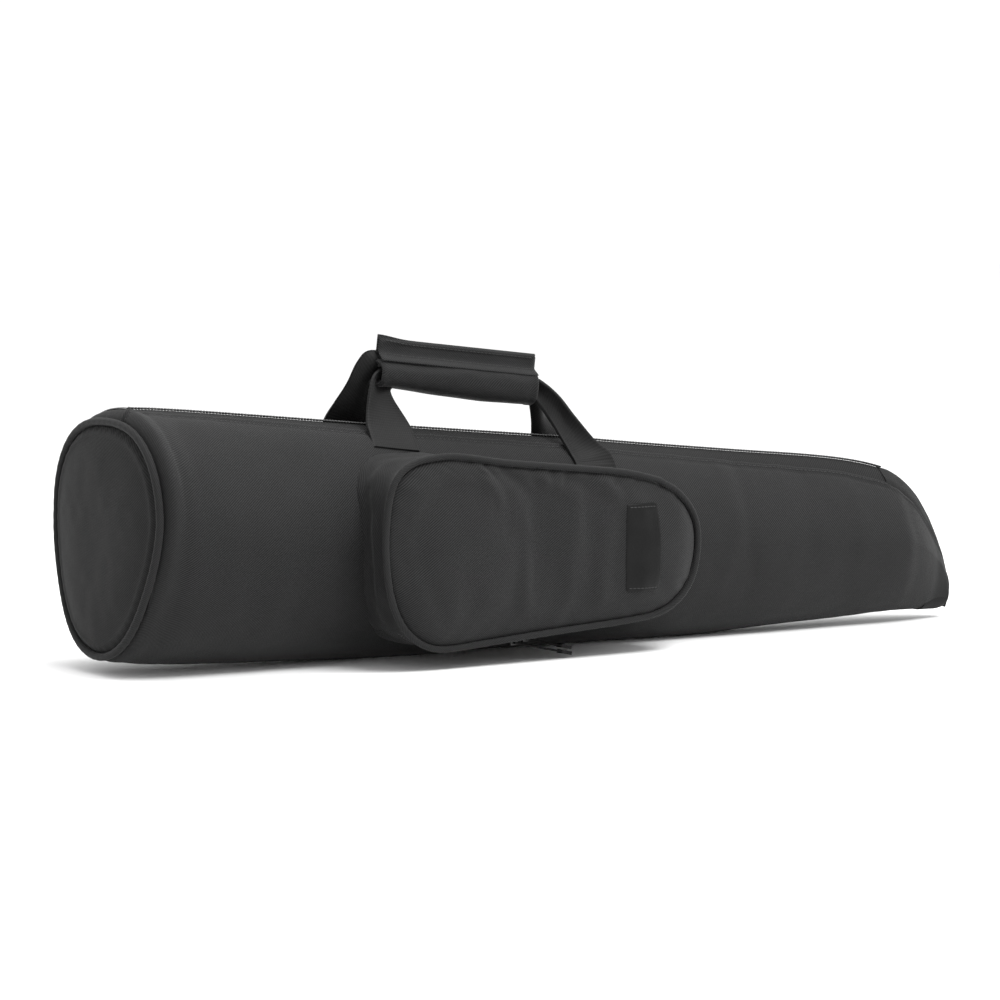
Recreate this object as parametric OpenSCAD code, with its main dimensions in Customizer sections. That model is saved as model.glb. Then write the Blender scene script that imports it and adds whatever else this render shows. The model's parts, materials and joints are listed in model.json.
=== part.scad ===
// Padded telescope carry case: tapered soft body with a ridge zip, a stiff round end,
// a front pocket and a two-loop webbing handle with a hook-and-loop wrap.
// Millimetres. +X runs along the case towards the narrow nose, +Y is the back, +Z is up.
// The origin is on the floor, in the plane of the main zip.

/* [Body] */
// Outer fabric thickness
fabric_t = 1.2; // [1:0.1:1.4]
// Body foam thickness
foam_t = 5; // [4:0.5:6]
// Lining thickness
lining_t = 0.8; // [0.6:0.1:1]
// Half width of the zip strip, coil line to seam
seam_y = 14; // [12:1:16]

/* [Round end] */
// Radius of the flat end panel
end_r = 77.2; // [76:0.2:77.6]
// How far the end panel bulges outward
end_bulge = 8; // [4:1:10]
// Piping radius
piping_r = 2.6; // [2:0.1:2.7]

/* [Handle] */
// Webbing width
web_w = 38; // [34:1:40]
// Webbing thickness
web_t = 1.8; // [1.4:0.1:2]
// Height of the flat closing leaves above the grip roll
leaf_h = 16; // [12:1:20]

/* [Pocket] */
// Pocket piping size
pipe_w = 2.4; // [1.6:0.2:3]
// Label width
label_w = 28; // [20:1:30]
// Label height
label_h = 63; // [45:1:64]

/* [Hidden] */
$fn = 48;

D0 = 0;
D1 = fabric_t;
D2 = D1 + foam_t;
D3 = D2 + lining_t;

// hinge line of the rear flap: straight, at the widest height
function w_line(x) = 86.5 - 0.0729*(x + 345);
function m_line(x) = 92 - 0.0434*(x + 345);

// body profile, one row per station:
// x, ridge height, underside height, half width, height of the widest point,
// upper exponent, lower exponent, half width of the flat underside, nose shift
T = [
 [-359, 174, 13, 80.5, 93.5, 2.0, 2.0, 4, 0],
 [-356, 180, 10, 84, 93, 2.0, 2.0, 5, 0],
 [-351, 183.5, 8, 86.6, 92.3, 2.05, 2.0, 6, 0],
 [-348, 184, 7.7, w_line(-348), m_line(-348), 2.05, 2.0, 7, 0],
 [-345, 184, 7.5, w_line(-345), m_line(-345), 2.05, 2.0, 8, 0],
 [-342, 183.6, 7, w_line(-342), m_line(-342), 2.0, 2.0, 9, 0],
 [-331, 182.5, 6, w_line(-331), m_line(-331), 1.95, 2.05, 12, 0],
 [-300, 180, 4.3, w_line(-300), m_line(-300), 1.8, 2.1, 18, 0],
 [-240, 174.5, 2.3, w_line(-240), m_line(-240), 1.7, 2.15, 20, 0],
 [-160, 167, 0, w_line(-160), m_line(-160), 1.62, 2.2, 21, 0],
 [-80, 160, 0, w_line(-80), m_line(-80), 1.6, 2.2, 21, 0],
 [0, 153, 0, w_line(0), m_line(0), 1.57, 2.2, 20, 0],
 [80, 145, 0, w_line(80), m_line(80), 1.53, 2.2, 20, 0],
 [160, 137.5, 1.5, w_line(160), m_line(160), 1.5, 2.2, 18, 0],
 [242, 130, 5, w_line(242), m_line(242), 1.45, 2.1, 15, 0],
 [271, 126, 6.5, w_line(271), m_line(271), 1.38, 2.1, 14, 0],
 [300, 119.5, 7, w_line(300), m_line(300), 1.28, 2.1, 12, 0],
 [312, 115, 7, 35.5, 61, 1.22, 2.1, 10, 0],
 [324, 107.5, 7, 31, 57, 1.18, 2.1, 8, 0.1],
 [334, 98, 7, 26, 52, 1.15, 2.1, 7, 0.3],
 [344, 84, 7, 20, 46, 1.2, 2.1, 6, 0.5],
 [350, 72, 7, 18, 40, 1.25, 2.1, 5, 0.7],
 [355, 54, 7.5, 16, 31, 1.4, 2.1, 4, 0.9],
 [358, 34, 8, 14, 21, 1.8, 2.1, 4, 1]];

// value k of the profile at x
function col(k) = [for (r = T) [r[0], r[k]]];
function P(x, k) = lookup(x, col(k));
// stations between a and b, ends included
function xs(a, b) = concat([a], [for (r = T) if (r[0] > a + 0.05 && r[0] < b - 0.05) r[0]], [b]);

NU = 6;
// upper quarter from half width ya down to the widest point
function upper(x, d, ya, dz = 0) =
  let (w = P(x, 3) - d, zm = P(x, 4), h = P(x, 1) - d - zm, p = P(x, 5),
       y1 = min(ya, 0.62*w), t1 = asin(pow(y1/w, p/2)),
       t2 = 90)
  [for (i = [0:NU]) let (t = t1 + (t2 - t1)*i/NU)
     [w*pow(sin(t), 2/p), zm + max(h*pow(max(cos(t), 0), 2/p), dz)]];
// lower quarter from the widest point down to the flat underside
function lower(x, d) =
  let (w = P(x, 3) - d, zm = P(x, 4), zb = P(x, 2) + d, h = zm - zb, q = P(x, 6),
       b = min(P(x, 7), 0.6*w), t1 = asin(pow(b/w, q/2)))
  [for (i = [0:NU]) let (t = 90 - (90 - t1)*i/NU)
     [w*pow(sin(t), 2/q), zm - (i == NU ? h : h*pow(max(cos(t), 0), 2/q))]];
// one point of the ridge at half width y
function ridge(x, d, y) =
  let (w = P(x, 3) - d, zm = P(x, 4), h = P(x, 1) - d - zm, p = P(x, 5), yy = min(y, 0.5*w*y/seam_y))
  [yy, zm + h*pow(1 - pow(yy/w, p), 1/p)];

function neg(l) = [for (q = l) [-q[0], q[1]]];
function rev(l) = [for (i = [len(l) - 1:-1:0]) l[i]];
function place(x, d, l) = [for (q = l) [x - d*P(x, 8), q[0], q[1]]];

// section pieces, each a list of points from front to back over the named stretch
function s_front(x, d) = neg(upper(x, d, seam_y));
function s_under(x, d) = concat(neg(lower(x, d)), rev(lower(x, d)));
function s_rear(x, d, dz = 0) = rev(upper(x, d, seam_y, dz));
function tail(l) = [for (i = [1:len(l) - 1]) l[i]];
function s_shell(x, d) = concat(s_front(x, d), tail(s_under(x, d)));
function s_wrap(x, d) = concat(s_shell(x, d), tail(s_rear(x, d)));
function s_top(x, d) = [s_rear(x, d)[NU], ridge(x, d, 3), [0, P(x, 1) - d], neg([ridge(x, d, 3)])[0], s_front(x, d)[0]];
function s_ring(x, d) = concat(s_wrap(x, d), [for (i = [1:3]) s_top(x, d)[i]]);
function s_tape_f(x, d) = [neg([ridge(x, d, 3)])[0], s_front(x, d)[0]];
function s_coil_f(x, d) = [[-0.2, ridge(x, d, 0.2)[1]], neg([ridge(x, d, 3)])[0]];
function s_tape_r(x, d) = [s_rear(x, d)[NU], ridge(x, d, 3)];
function s_coil_r(x, d) = [ridge(x, d, 3), [0.2, ridge(x, d, 0.2)[1]]];
function s_quad(x, d, dz = 0) = concat(s_rear(x, d, dz), [ridge(x, d, 3), [0.2, ridge(x, d, 0.2)[1]]]);

// wall between two stacks of sections; A is the outer stack, B the inner one
module wall(A, B, closed = false, cap = false) {
  n = len(A[0]);
  m = len(A);
  o = n*m;
  e = closed ? n - 1 : n - 2;
  pts = concat([for (s = A) for (q = s) q], [for (s = B) for (q = s) q],
               cap ? [[A[m-1][0][0], 0, P(358, 4)], [B[m-1][0][0], 0, P(358, 4)]] : []);
  polyhedron(pts, concat(
    [for (j = [0:m-2]) for (i = [0:e]) let (k = (i + 1) % n) each
      [[j*n + i, j*n + k, (j+1)*n + k], [j*n + i, (j+1)*n + k, (j+1)*n + i],
       [o + j*n + i, o + (j+1)*n + k, o + j*n + k], [o + j*n + i, o + (j+1)*n + i, o + (j+1)*n + k]]],
    [for (i = [0:e]) let (k = (i + 1) % n) each [[i, o + i, o + k], [i, o + k, k]]],
    cap ? [for (i = [0:n-1]) let (k = (i + 1) % n) each
             [[(m-1)*n + i, (m-1)*n + k, 2*o], [o + (m-1)*n + k, o + (m-1)*n + i, 2*o + 1]]]
        : [for (i = [0:e]) let (k = (i + 1) % n, a = (m-1)*n) each
             [[a + i, a + k, o + a + k], [a + i, o + a + k, o + a + i]]],
    closed ? [] : [for (j = [0:m-2]) each
      [[j*n, (j+1)*n, o + (j+1)*n], [j*n, o + (j+1)*n, o + j*n],
       [j*n + n-1, o + j*n + n-1, o + (j+1)*n + n-1], [j*n + n-1, o + (j+1)*n + n-1, (j+1)*n + n-1]]]));
}

// solid of the whole body outside, for trimming what is sewn onto it
module body_solid(d = 0) {
  X = xs(-359, 344);
  S = [for (x = X) place(x, d, s_ring(x, d))];
  n = len(S[0]);
  m = len(S);
  polyhedron(concat([for (s = S) for (q = s) q], [[-359, 0, 90], [344, 0, 46]]), concat(
    [for (j = [0:m-2]) for (i = [0:n-1]) let (k = (i + 1) % n) each
      [[j*n + i, j*n + k, (j+1)*n + k], [j*n + i, (j+1)*n + k, (j+1)*n + i]]],
    [for (i = [0:n-1]) let (k = (i + 1) % n) each
      [[k, i, n*m], [(m-1)*n + i, (m-1)*n + k, n*m + 1]]]));
}

XN = 300;

module cover_panel() color([0.08, 0.08, 0.09]) {
  X = xs(-359, XN);
  Y = xs(XN, 344);
  union() {
    wall([for (x = X) place(x, D0, s_shell(x, D0))], [for (x = X) place(x, D1, s_shell(x, D1))]);
    wall([for (x = Y) place(x, D0, s_wrap(x, D0))], [for (x = Y) place(x, D1, s_wrap(x, D1))]);
  }
}

module layer(a, b) {
  X = xs(-359, XN);
  Y = xs(XN, 358);
  union() {
    wall([for (x = X) place(x, a, s_shell(x, a))], [for (x = X) place(x, b, s_shell(x, b))]);
    wall([for (x = Y) place(x, a, s_ring(x, a))], [for (x = Y) place(x, b, s_ring(x, b))], true, true);
  }
}

module body_foam() color([0.3, 0.3, 0.32]) layer(D1, D2);
module body_lining() color([0.12, 0.12, 0.13]) layer(D2, D3);

module nose_strip() color([0.07, 0.07, 0.08]) {
  X = xs(XN, 344);
  Y = xs(344, 358);
  union() {
    wall([for (x = X) place(x, D0, s_top(x, D0))], [for (x = X) place(x, D1, s_top(x, D1))]);
    wall([for (x = Y) place(x, D0, s_ring(x, D0))], [for (x = Y) place(x, D1, s_ring(x, D1))], true, true);
  }
}

TT = 0.8;
module zip_tape_front() color([0.05, 0.05, 0.05]) {
  X = xs(-359, XN);
  Y = xs(-359, -348);
  union() {
    wall([for (x = X) place(x, 0, s_tape_f(x, 0))], [for (x = X) place(x, TT, s_tape_f(x, TT))]);
    wall([for (x = Y) place(x, 0, concat(s_quad(x, 0), [neg([ridge(x, 0, 3)])[0]]))],
         [for (x = Y) place(x, TT, concat(s_quad(x, TT), [neg([ridge(x, TT, 3)])[0]]))]);
  }
}

module zip_coil_front() color([0.1, 0.1, 0.1]) {
  X = xs(-348, XN);
  Y = [-348, -345.2];
  union() {
    wall([for (x = X) place(x, -1, s_coil_f(x, -1))], [for (x = X) place(x, 1.2, s_coil_f(x, 1.2))]);
    wall([for (x = Y) place(x, -1, concat(s_quad(x, -1), [[-0.2, ridge(x, -1, 0.2)[1]]]))],
         [for (x = Y) place(x, 1.2, concat(s_quad(x, 1.2), [[-0.2, ridge(x, 1.2, 0.2)[1]]]))]);
  }
}

// round end, turned about its own axis
module about_end() translate([0, 0, 93.5]) rotate([0, -90, 0]) children();
module end_cover() color([0.08, 0.08, 0.09]) about_end() rotate_extrude($fn = 72)
  polygon([[0, 363 + end_bulge], [end_r*0.35, 363 + end_bulge*0.9], [end_r*0.7, 363 + end_bulge*0.62],
           [end_r*0.9, 363 + end_bulge*0.28], [end_r, 363], [end_r, 361.8], [end_r*0.9, 361.8 + end_bulge*0.28],
           [end_r*0.7, 361.8 + end_bulge*0.62], [end_r*0.35, 361.8 + end_bulge*0.9], [0, 361.8 + end_bulge]]);
module end_foam() color([0.3, 0.3, 0.32]) about_end() rotate_extrude($fn = 72)
  polygon([[0, 361.6], [0, 361.8 + end_bulge], [end_r*0.35, 361.8 + end_bulge*0.9],
           [end_r*0.7, 361.8 + end_bulge*0.62], [end_r*0.9, 361.8 + end_bulge*0.28], [end_r, 361.8], [end_r, 361.6]]);
module end_board() color([0.25, 0.2, 0.15]) about_end() translate([0, 0, 359.6]) cylinder(r = end_r, h = 2, $fn = 72);
module end_lining() color([0.12, 0.12, 0.13]) about_end() translate([0, 0, 359]) cylinder(r = end_r, h = 0.6, $fn = 72);
module end_piping() color([0.06, 0.06, 0.06]) about_end() translate([0, 0, 361.7])
  rotate_extrude($fn = 72) translate([end_r + piping_r + 0.05, 0]) circle(r = piping_r, $fn = 20);

module ear_tab() color([0.07, 0.07, 0.08]) translate([0, 0.9, 0]) rotate([90, 0, 0]) linear_extrude(1.8)
  polygon([[358.1, 31], [359.5, 40], [362, 38], [367, 29], [368, 20], [368, 11], [365, 7.5], [358.1, 8.5]]);

// bar tack across the two tapes just past the lower end of the round-end zip
module zip_stop() color([0.05, 0.05, 0.05]) {
  X = [-351, -348, -345, -342];
  wall([for (x = X) place(x, -0.6, [s_under(x, -0.6)[12], s_under(x, -0.6)[11]])],
       [for (x = X) place(x, 0, [s_under(x, 0)[12], s_under(x, 0)[11]])]);
}

// rear flap
FG = 0.35;
module flap_layer(a, b) {
  X = xs(-331, XN - 1.2);
  wall([for (x = X) place(x, a, s_rear(x, a, FG))], [for (x = X) place(x, b, s_rear(x, b, FG))]);
}
module flap_panel() color([0.09, 0.09, 0.1]) flap_layer(D0, D1);
module flap_foam() color([0.3, 0.3, 0.32]) flap_layer(D1, D2);
module flap_lining() color([0.12, 0.12, 0.13]) flap_layer(D2, D3);
module zip_tape_rear() color([0.05, 0.05, 0.05]) {
  X = xs(-331, XN - 1.2);
  Y = xs(-342, -331);
  union() {
    wall([for (x = X) place(x, 0, s_tape_r(x, 0))], [for (x = X) place(x, TT, s_tape_r(x, TT))]);
    wall([for (x = Y) place(x, 0, concat(s_rear(x, 0, FG), [ridge(x, 0, 3)]))],
         [for (x = Y) place(x, TT, concat(s_rear(x, TT, FG), [ridge(x, TT, 3)]))]);
  }
}
module zip_coil_rear() color([0.1, 0.1, 0.1]) {
  X = xs(-342, XN - 1.2);
  Y = [-344.8, -342];
  union() {
    wall([for (x = X) place(x, -1, s_coil_r(x, -1))], [for (x = X) place(x, 1.2, s_coil_r(x, 1.2))]);
    wall([for (x = Y) place(x, -1, s_quad(x, -1, 2.4))], [for (x = Y) place(x, 1.2, s_quad(x, 1.2, 2.4))]);
  }
}

// handle, drawn in a frame that slopes with the ridge
module sloped() translate([-80, 0, 194.6]) rotate([0, 6.3, 0]) children();
LEAN = 33.2;
FY = 29;
FV = -47;
// strap outline: distance along the case, distance up the lean
function strap_left() = [[-91, 1.2], [-91 + web_w, 1.2], [-70.6, 36], [-70.6, 49], [-88, 49]];
function strap_right() = [[123 - web_w, 1.2], [123, 1.2], [90, 49], [68.6, 49], [68.6, 36]];
module strap() {
  translate([0, -FY, FV]) rotate([90 - LEAN, 0, 0]) translate([0, 0, -web_t/2]) linear_extrude(web_t) {
    polygon(strap_left());
    polygon(strap_right());
  }
  translate([-88, -2.2 - web_t/2, -6]) cube([178, web_t, 12]);
}
module front_strap() color([0.06, 0.06, 0.06]) sloped() strap();
module rear_strap() color([0.06, 0.06, 0.06]) sloped() mirror([0, 1, 0]) strap();
// sewn feet lying on the body just below the fold line
module foot(u) translate([u, -FY, FV]) rotate([43.5, 0, 0]) translate([0, -7.6, -0.05]) cube([web_w, 7, 0.8]);
module feet() sloped() { foot(-91); foot(123 - web_w); }
module front_strap_feet() color([0.06, 0.06, 0.06]) feet();
module rear_strap_feet() color([0.06, 0.06, 0.06]) mirror([0, 1, 0]) feet();

GL = -70;
GR = 68;
// rounded upright rectangle: half sizes a, b
module offset_rect(a, b) {
  rr = b - 1;
  translate([-(a - rr), 0]) circle(r = rr, $fn = 32);
  translate([a - rr, 0]) circle(r = rr, $fn = 32);
  square([2*(a - rr), 2*rr], center = true);
}
// extrude a (y, z) drawing along the grip
module along(a, b) translate([a, 0, 0]) rotate([90, 0, 90]) linear_extrude(b - a) children();
module grip_wrap() color([0.08, 0.08, 0.09]) sloped() union() {
  along(GL, GR) difference() {
    offset_rect(13, 12.5);
    offset_rect(11.8, 11.3);
    translate([-2, 5]) square([4, 12]);
  }
  along(GL, GR) translate([2, 11.3]) square([1.2, leaf_h]);
  along(GL, GR) translate([0.6, 11.3]) square([1.4, leaf_h]);
}
module grip_foam() color([0.3, 0.3, 0.32]) sloped() along(GL + 1, GR - 1) difference() {
  offset_rect(11.8, 11.3);
  offset_rect(8.2, 7.6);
  translate([-2, 4]) square([4, 12]);
}
module hook_strip() color([0.04, 0.04, 0.04]) sloped() along(GL + 5, GR - 5) translate([0.1, 13]) square([0.5, leaf_h - 4]);
module grip_flap() color([0.08, 0.08, 0.09]) sloped() along(GL, GR) translate([-3.6, 11.9]) square([2.6, leaf_h - 0.6]);
module loop_strip() color([0.04, 0.04, 0.04]) sloped() along(GL + 5, GR - 5) translate([-1, 13.5]) square([0.7, leaf_h - 5]);

// main slider rides a round path over the round-end zip; parked below the flap line
SC = 97.3;
SR = 86.7;
module on_arc(a) translate([-345, 0, SC]) rotate([a, 0, 0]) translate([0, SR, 0]) children();
module main_slider() color([0.12, 0.12, 0.12]) on_arc(-10) {
  translate([-5.5, 2.4, -8]) cube([11, 2, 16]);
  translate([-5.5, 0.9, -8]) cube([0.9, 1.6, 16]);
  translate([4.6, 0.9, -8]) cube([0.9, 1.6, 16]);
  difference() {
    translate([-2, 4.3, -5]) cube([4, 4.6, 10]);
    translate([-2.5, 4.3, -3]) cube([5, 2.4, 6]);
  }
}
module main_puller() color([0.12, 0.12, 0.12]) on_arc(-10) translate([0, 5.5, 1]) rotate([10, 0, 0]) difference() {
  union() {
    translate([-4.5, -0.9, -29]) cube([9, 1.8, 21]);
    translate([-4.5, -0.8, -8.5]) cube([1.8, 1.6, 9.1]);
    translate([2.7, -0.8, -8.5]) cube([1.8, 1.6, 9.1]);
    translate([-4.5, 0, 0]) rotate([0, 90, 0]) cylinder(r = 0.8, h = 9, $fn = 20);
  }
  translate([-2, -2, -26]) cube([4, 4, 6]);
}

// pocket, drawn in a frame on its front face: x along the face, y into the case, z up
PT = 3.43;
module face_frame() translate([-203, -110, 0]) rotate([0, 0, PT]) translate([203, 0, 0]) children();
OUT = [[-156, 149], [-142, 149], [-124, 146.6], [-100, 143], [-70, 140], [-40, 137], [3, 132.3], [31, 126], [36, 124],
       [51, 116], [64, 101.5], [69, 86], [68, 68], [63, 52], [51, 38], [32, 29], [4, 25.5], [-40, 22.7],
       [-80, 20], [-120, 17], [-150, 15], [-166, 17.5], [-179, 25], [-190, 38], [-197, 57], [-200, 80],
       [-200, 100], [-197, 122], [-190, 137], [-176, 146]];
NO = len(OUT);
function unit(v) = v/norm(v);
function nrm(L, i) = let (n = len(L), a = L[(i + n - 1) % n], b = L[(i + 1) % n], t = unit(b - a)) [-t[1], t[0]];
// outline grown outward by g
function grow(L, g) = [for (i = [0:len(L) - 1]) L[i] + g*nrm(L, i)];
module face_plate(y0, y1, g = 0) translate([0, y1, 0]) rotate([90, 0, 0]) linear_extrude(y1 - y0) polygon(grow(OUT, g));
// wall along part of the outline, from point i to point j
module edge_wall(i, j, y0, y1, t, g = 0) translate([0, y1, 0]) rotate([90, 0, 0]) linear_extrude(y1 - y0) {
  A = grow(OUT, g);
  B = grow(OUT, g - t);
  k = j >= i ? j : j + NO;
  polygon(concat([for (n = [i:k]) A[n % NO]], [for (n = [k:-1:i]) B[n % NO]]));
}
// outline stretches: hinge side 0..7, zipped side 8..22, pleated side 22..0
module pocket_face() color([0.08, 0.08, 0.09]) face_frame() face_plate(0, 1.2, -0.1);
module pocket_foam() color([0.3, 0.3, 0.32]) face_frame() face_plate(1.2, 4.2, -1.3);
module pocket_lining() color([0.12, 0.12, 0.13]) face_frame() face_plate(4.2, 4.8, -1.3);
module pocket_piping() color([0.06, 0.06, 0.06]) face_frame() {
  edge_ring(0.4, 1.4, pipe_w - 0.7, 0);
  edge_ring(1.4, 3.4, pipe_w, 0);
  edge_ring(3.4, 4.4, pipe_w - 0.7, 0);
}
module edge_ring(y0, y1, g1, g0) difference() {
  face_plate(y0, y1, g1);
  face_plate(y0 - 1, y1 + 1, g0);
}
module pocket_front_gusset() color([0.08, 0.08, 0.09]) face_frame() edge_wall(8, 22, 1.2, 12, 1.2);
module pocket_tape_out() color([0.05, 0.05, 0.05]) face_frame() edge_wall(8, 22, 12, 18, 0.8);
module pocket_coil_out() color([0.1, 0.1, 0.1]) face_frame() edge_wall(8, 22, 18, 20.3, 2, 0.8);
module pocket_coil_in() color([0.1, 0.1, 0.1]) face_frame() edge_wall(8, 22, 20.7, 23, 2, 0.8);
module pocket_tape_in() color([0.05, 0.05, 0.05]) face_frame() edge_wall(8, 22, 23, 29, 0.8);
// half width of the body at a height
function body_y(x, z) = let (w = P(x, 3), zm = P(x, 4), up = z >= zm, h = up ? P(x, 1) - zm : zm - P(x, 2), e = up ? P(x, 5) : P(x, 6))
  w*pow(1 - pow(abs(z - zm)/h, e), 1/e);
// depth in the face frame at which a wall meets the body, 1.2 mm short of it
function reach(lx, z) =
  let (f = function(ly) (-1.2 - body_y(-203 + (lx + 203)*cos(PT) - ly*sin(PT), z) + 110 - (lx + 203)*sin(PT))/cos(PT))
  f(f(f(40)));
// gusset wall from depth y0 back to the body, along outline points i to j
module skirt(i, j, y0, t, g = 0) {
  A = grow(OUT, g);
  B = grow(OUT, g - t);
  k = j >= i ? j : j + NO;
  wall([[for (n = [i:k]) let (q = A[n % NO]) [q[0], y0, q[1]]],
        [for (n = [i:k]) let (q = A[n % NO]) [q[0], reach(q[0], q[1]), q[1]]]],
       [[for (n = [i:k]) let (q = B[n % NO]) [q[0], y0, q[1]]],
        [for (n = [i:k]) let (q = B[n % NO], r = A[n % NO]) [q[0], reach(r[0], r[1]), q[1]]]]);
}
module pocket_rear_gusset() color([0.08, 0.08, 0.09]) face_frame() skirt(7, 22, 29, 1.2);
module pocket_top_gusset() color([0.08, 0.08, 0.09]) face_frame() skirt(0, 7, 5.2, 1.2, -0.15);
module pocket_left_gusset() color([0.08, 0.08, 0.09]) face_frame() skirt(22, 0, 5.2, 1.2, -0.15);
module label() color([0.05, 0.05, 0.05]) face_frame() translate([0.4, -1, 47]) cube([label_w, 1, label_h]);

// pocket sliders and pulls on the straight lower run
RUN = 3.9;
module on_run(s) face_frame() translate([-75, 20.5, 20.1]) rotate([0, -RUN, 0]) translate([s, 0, 0]) children();
module p_slider(s) on_run(s) {
  translate([-5.5, -5, -4]) cube([11, 10, 1.8]);
  translate([-5.5, -5, -2.4]) cube([11, 0.9, 1.4]);
  translate([-5.5, 4.1, -2.4]) cube([11, 0.9, 1.4]);
}
module p_lug(s, dy) on_run(s) difference() {
  translate([-3, dy - 1, -7.4]) cube([6, 2, 3.6]);
  translate([0, dy + 2, -5.8]) rotate([90, 0, 0]) cylinder(r = 0.9, h = 4, $fn = 20);
}
SA = -9;
SB = 6;
module pocket_slider_a() color([0.12, 0.12, 0.12]) { p_slider(SA); p_lug(SA, -3.2); }
module pocket_slider_b() color([0.12, 0.12, 0.12]) { p_slider(SB); p_lug(SB, 3.2); }
// folded stiff cord: a loop through the lug and two legs into the moulded tip
module pull_at(s, dy) on_run(s) translate([0, dy, -5.8]) rotate([0, 16, 0]) children();
module cord_legs(l) {
  translate([0, 3, 0]) rotate([90, 0, 0]) cylinder(r = 0.75, h = 6, $fn = 20);
  for (k = [-1, 1]) translate([0, k*2.25, 0]) rotate([0, 90, 0]) cylinder(r = 0.75, h = l, $fn = 20);
}
module pull_cord_a() color([0.05, 0.05, 0.05]) pull_at(SA, -3.2) cord_legs(41);
module pull_cord_b() color([0.05, 0.05, 0.05]) pull_at(SB, 3.2) cord_legs(30);
module tip(l, n) translate([l, -3.1, -1.3]) cube([n, 6.2, 2.6]);
module pull_tip_a() color([0.1, 0.1, 0.1]) pull_at(SA, -3.2) tip(41, 9);
module pull_tip_b() color([0.1, 0.1, 0.1]) pull_at(SB, 3.2) tip(30, 9);

cover_panel();
body_foam();
body_lining();
nose_strip();
zip_tape_front();
zip_coil_front();
end_cover();
end_foam();
end_board();
end_lining();
end_piping();
ear_tab();
zip_stop();
front_strap_feet();
pocket_rear_gusset();
pocket_top_gusset();
pocket_left_gusset();
pocket_tape_in();
pocket_coil_in();
flap_panel();
flap_foam();
flap_lining();
zip_tape_rear();
zip_coil_rear();
rear_strap_feet();
rear_strap();
front_strap();
grip_wrap();
grip_foam();
hook_strip();
grip_flap();
loop_strip();
main_slider();
main_puller();
pocket_face();
pocket_foam();
pocket_lining();
pocket_piping();
pocket_front_gusset();
pocket_tape_out();
pocket_coil_out();
label();
pocket_slider_a();
pocket_slider_b();
pull_cord_a();
pull_cord_b();
pull_tip_a();
pull_tip_b();
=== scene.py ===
import bpy, math, json
import numpy as np
from mathutils import Matrix, Vector

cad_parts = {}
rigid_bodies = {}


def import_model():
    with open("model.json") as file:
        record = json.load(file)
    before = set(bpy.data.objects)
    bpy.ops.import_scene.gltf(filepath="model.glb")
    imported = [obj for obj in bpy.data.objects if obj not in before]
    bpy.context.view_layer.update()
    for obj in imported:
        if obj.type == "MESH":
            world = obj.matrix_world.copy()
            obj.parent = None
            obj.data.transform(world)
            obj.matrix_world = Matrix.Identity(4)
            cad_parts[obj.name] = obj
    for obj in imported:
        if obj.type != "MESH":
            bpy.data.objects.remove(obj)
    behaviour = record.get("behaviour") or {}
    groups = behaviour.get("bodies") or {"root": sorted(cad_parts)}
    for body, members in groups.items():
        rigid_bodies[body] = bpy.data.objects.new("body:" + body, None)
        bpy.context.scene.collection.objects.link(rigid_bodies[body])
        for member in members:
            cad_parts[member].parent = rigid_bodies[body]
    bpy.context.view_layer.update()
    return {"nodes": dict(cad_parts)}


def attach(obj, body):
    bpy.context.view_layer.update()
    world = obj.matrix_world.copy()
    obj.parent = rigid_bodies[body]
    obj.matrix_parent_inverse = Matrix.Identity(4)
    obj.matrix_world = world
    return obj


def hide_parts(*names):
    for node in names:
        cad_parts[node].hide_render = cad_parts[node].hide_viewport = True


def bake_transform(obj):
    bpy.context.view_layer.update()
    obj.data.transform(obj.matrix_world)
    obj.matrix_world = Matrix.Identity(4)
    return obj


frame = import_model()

NODES = frame["nodes"]
rad = math.radians
for o in list(bpy.data.objects):
    if o.type in ("LIGHT", "CAMERA"):
        bpy.data.objects.remove(o)

# ------------------------------------------------------------------ camera, light, floor
F = np.array([math.sin(rad(31)) * math.cos(rad(4.425)), math.cos(rad(31)) * math.cos(rad(4.425)), -math.sin(rad(4.425))])
R = np.array([math.cos(rad(31)), -math.sin(rad(31)), 0.0])
U = np.cross(R, F)
cam_data = bpy.data.cameras.new("cam")
cam_data.lens, cam_data.sensor_width = 139.55, 36.0
cam_data.clip_start, cam_data.clip_end = 0.05, 100
cam = bpy.data.objects.new("cam", cam_data)
bpy.context.collection.objects.link(cam)
m = Matrix.Identity(4)
for i in range(3):
    m[i][0], m[i][1], m[i][2] = R[i], U[i], -F[i]
m[0][3], m[1][3], m[2][3] = -1.5017, -2.4253, 0.3270
cam.matrix_world = m
bpy.context.scene.camera = cam

world = bpy.data.worlds.new("studio")
world.use_nodes = True
world.node_tree.nodes["Background"].inputs[0].default_value = (1, 1, 1, 1)
world.node_tree.nodes["Background"].inputs[1].default_value = 1.08
bpy.context.scene.world = world
bpy.context.scene.view_settings.view_transform = "Standard"


def area(name, loc, target, size, power, size_y=None):
    d = bpy.data.lights.new(name, "AREA")
    d.shape, d.size, d.size_y, d.energy = "RECTANGLE", size, size_y or size, power
    o = bpy.data.objects.new(name, d)
    bpy.context.collection.objects.link(o)
    o.location = loc
    o.rotation_euler = (Vector(target) - Vector(loc)).to_track_quat("-Z", "Y").to_euler()
    return o


area("key", (0.22, -1.35, 2.15), (-0.06, 0, 0.12), 1.3, 54, 0.9)
area("top", (0.1, 0.1, 2.1), (0, 0, 0.1), 1.8, 24, 0.9)

# ------------------------------------------------------------------ small tools


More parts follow.
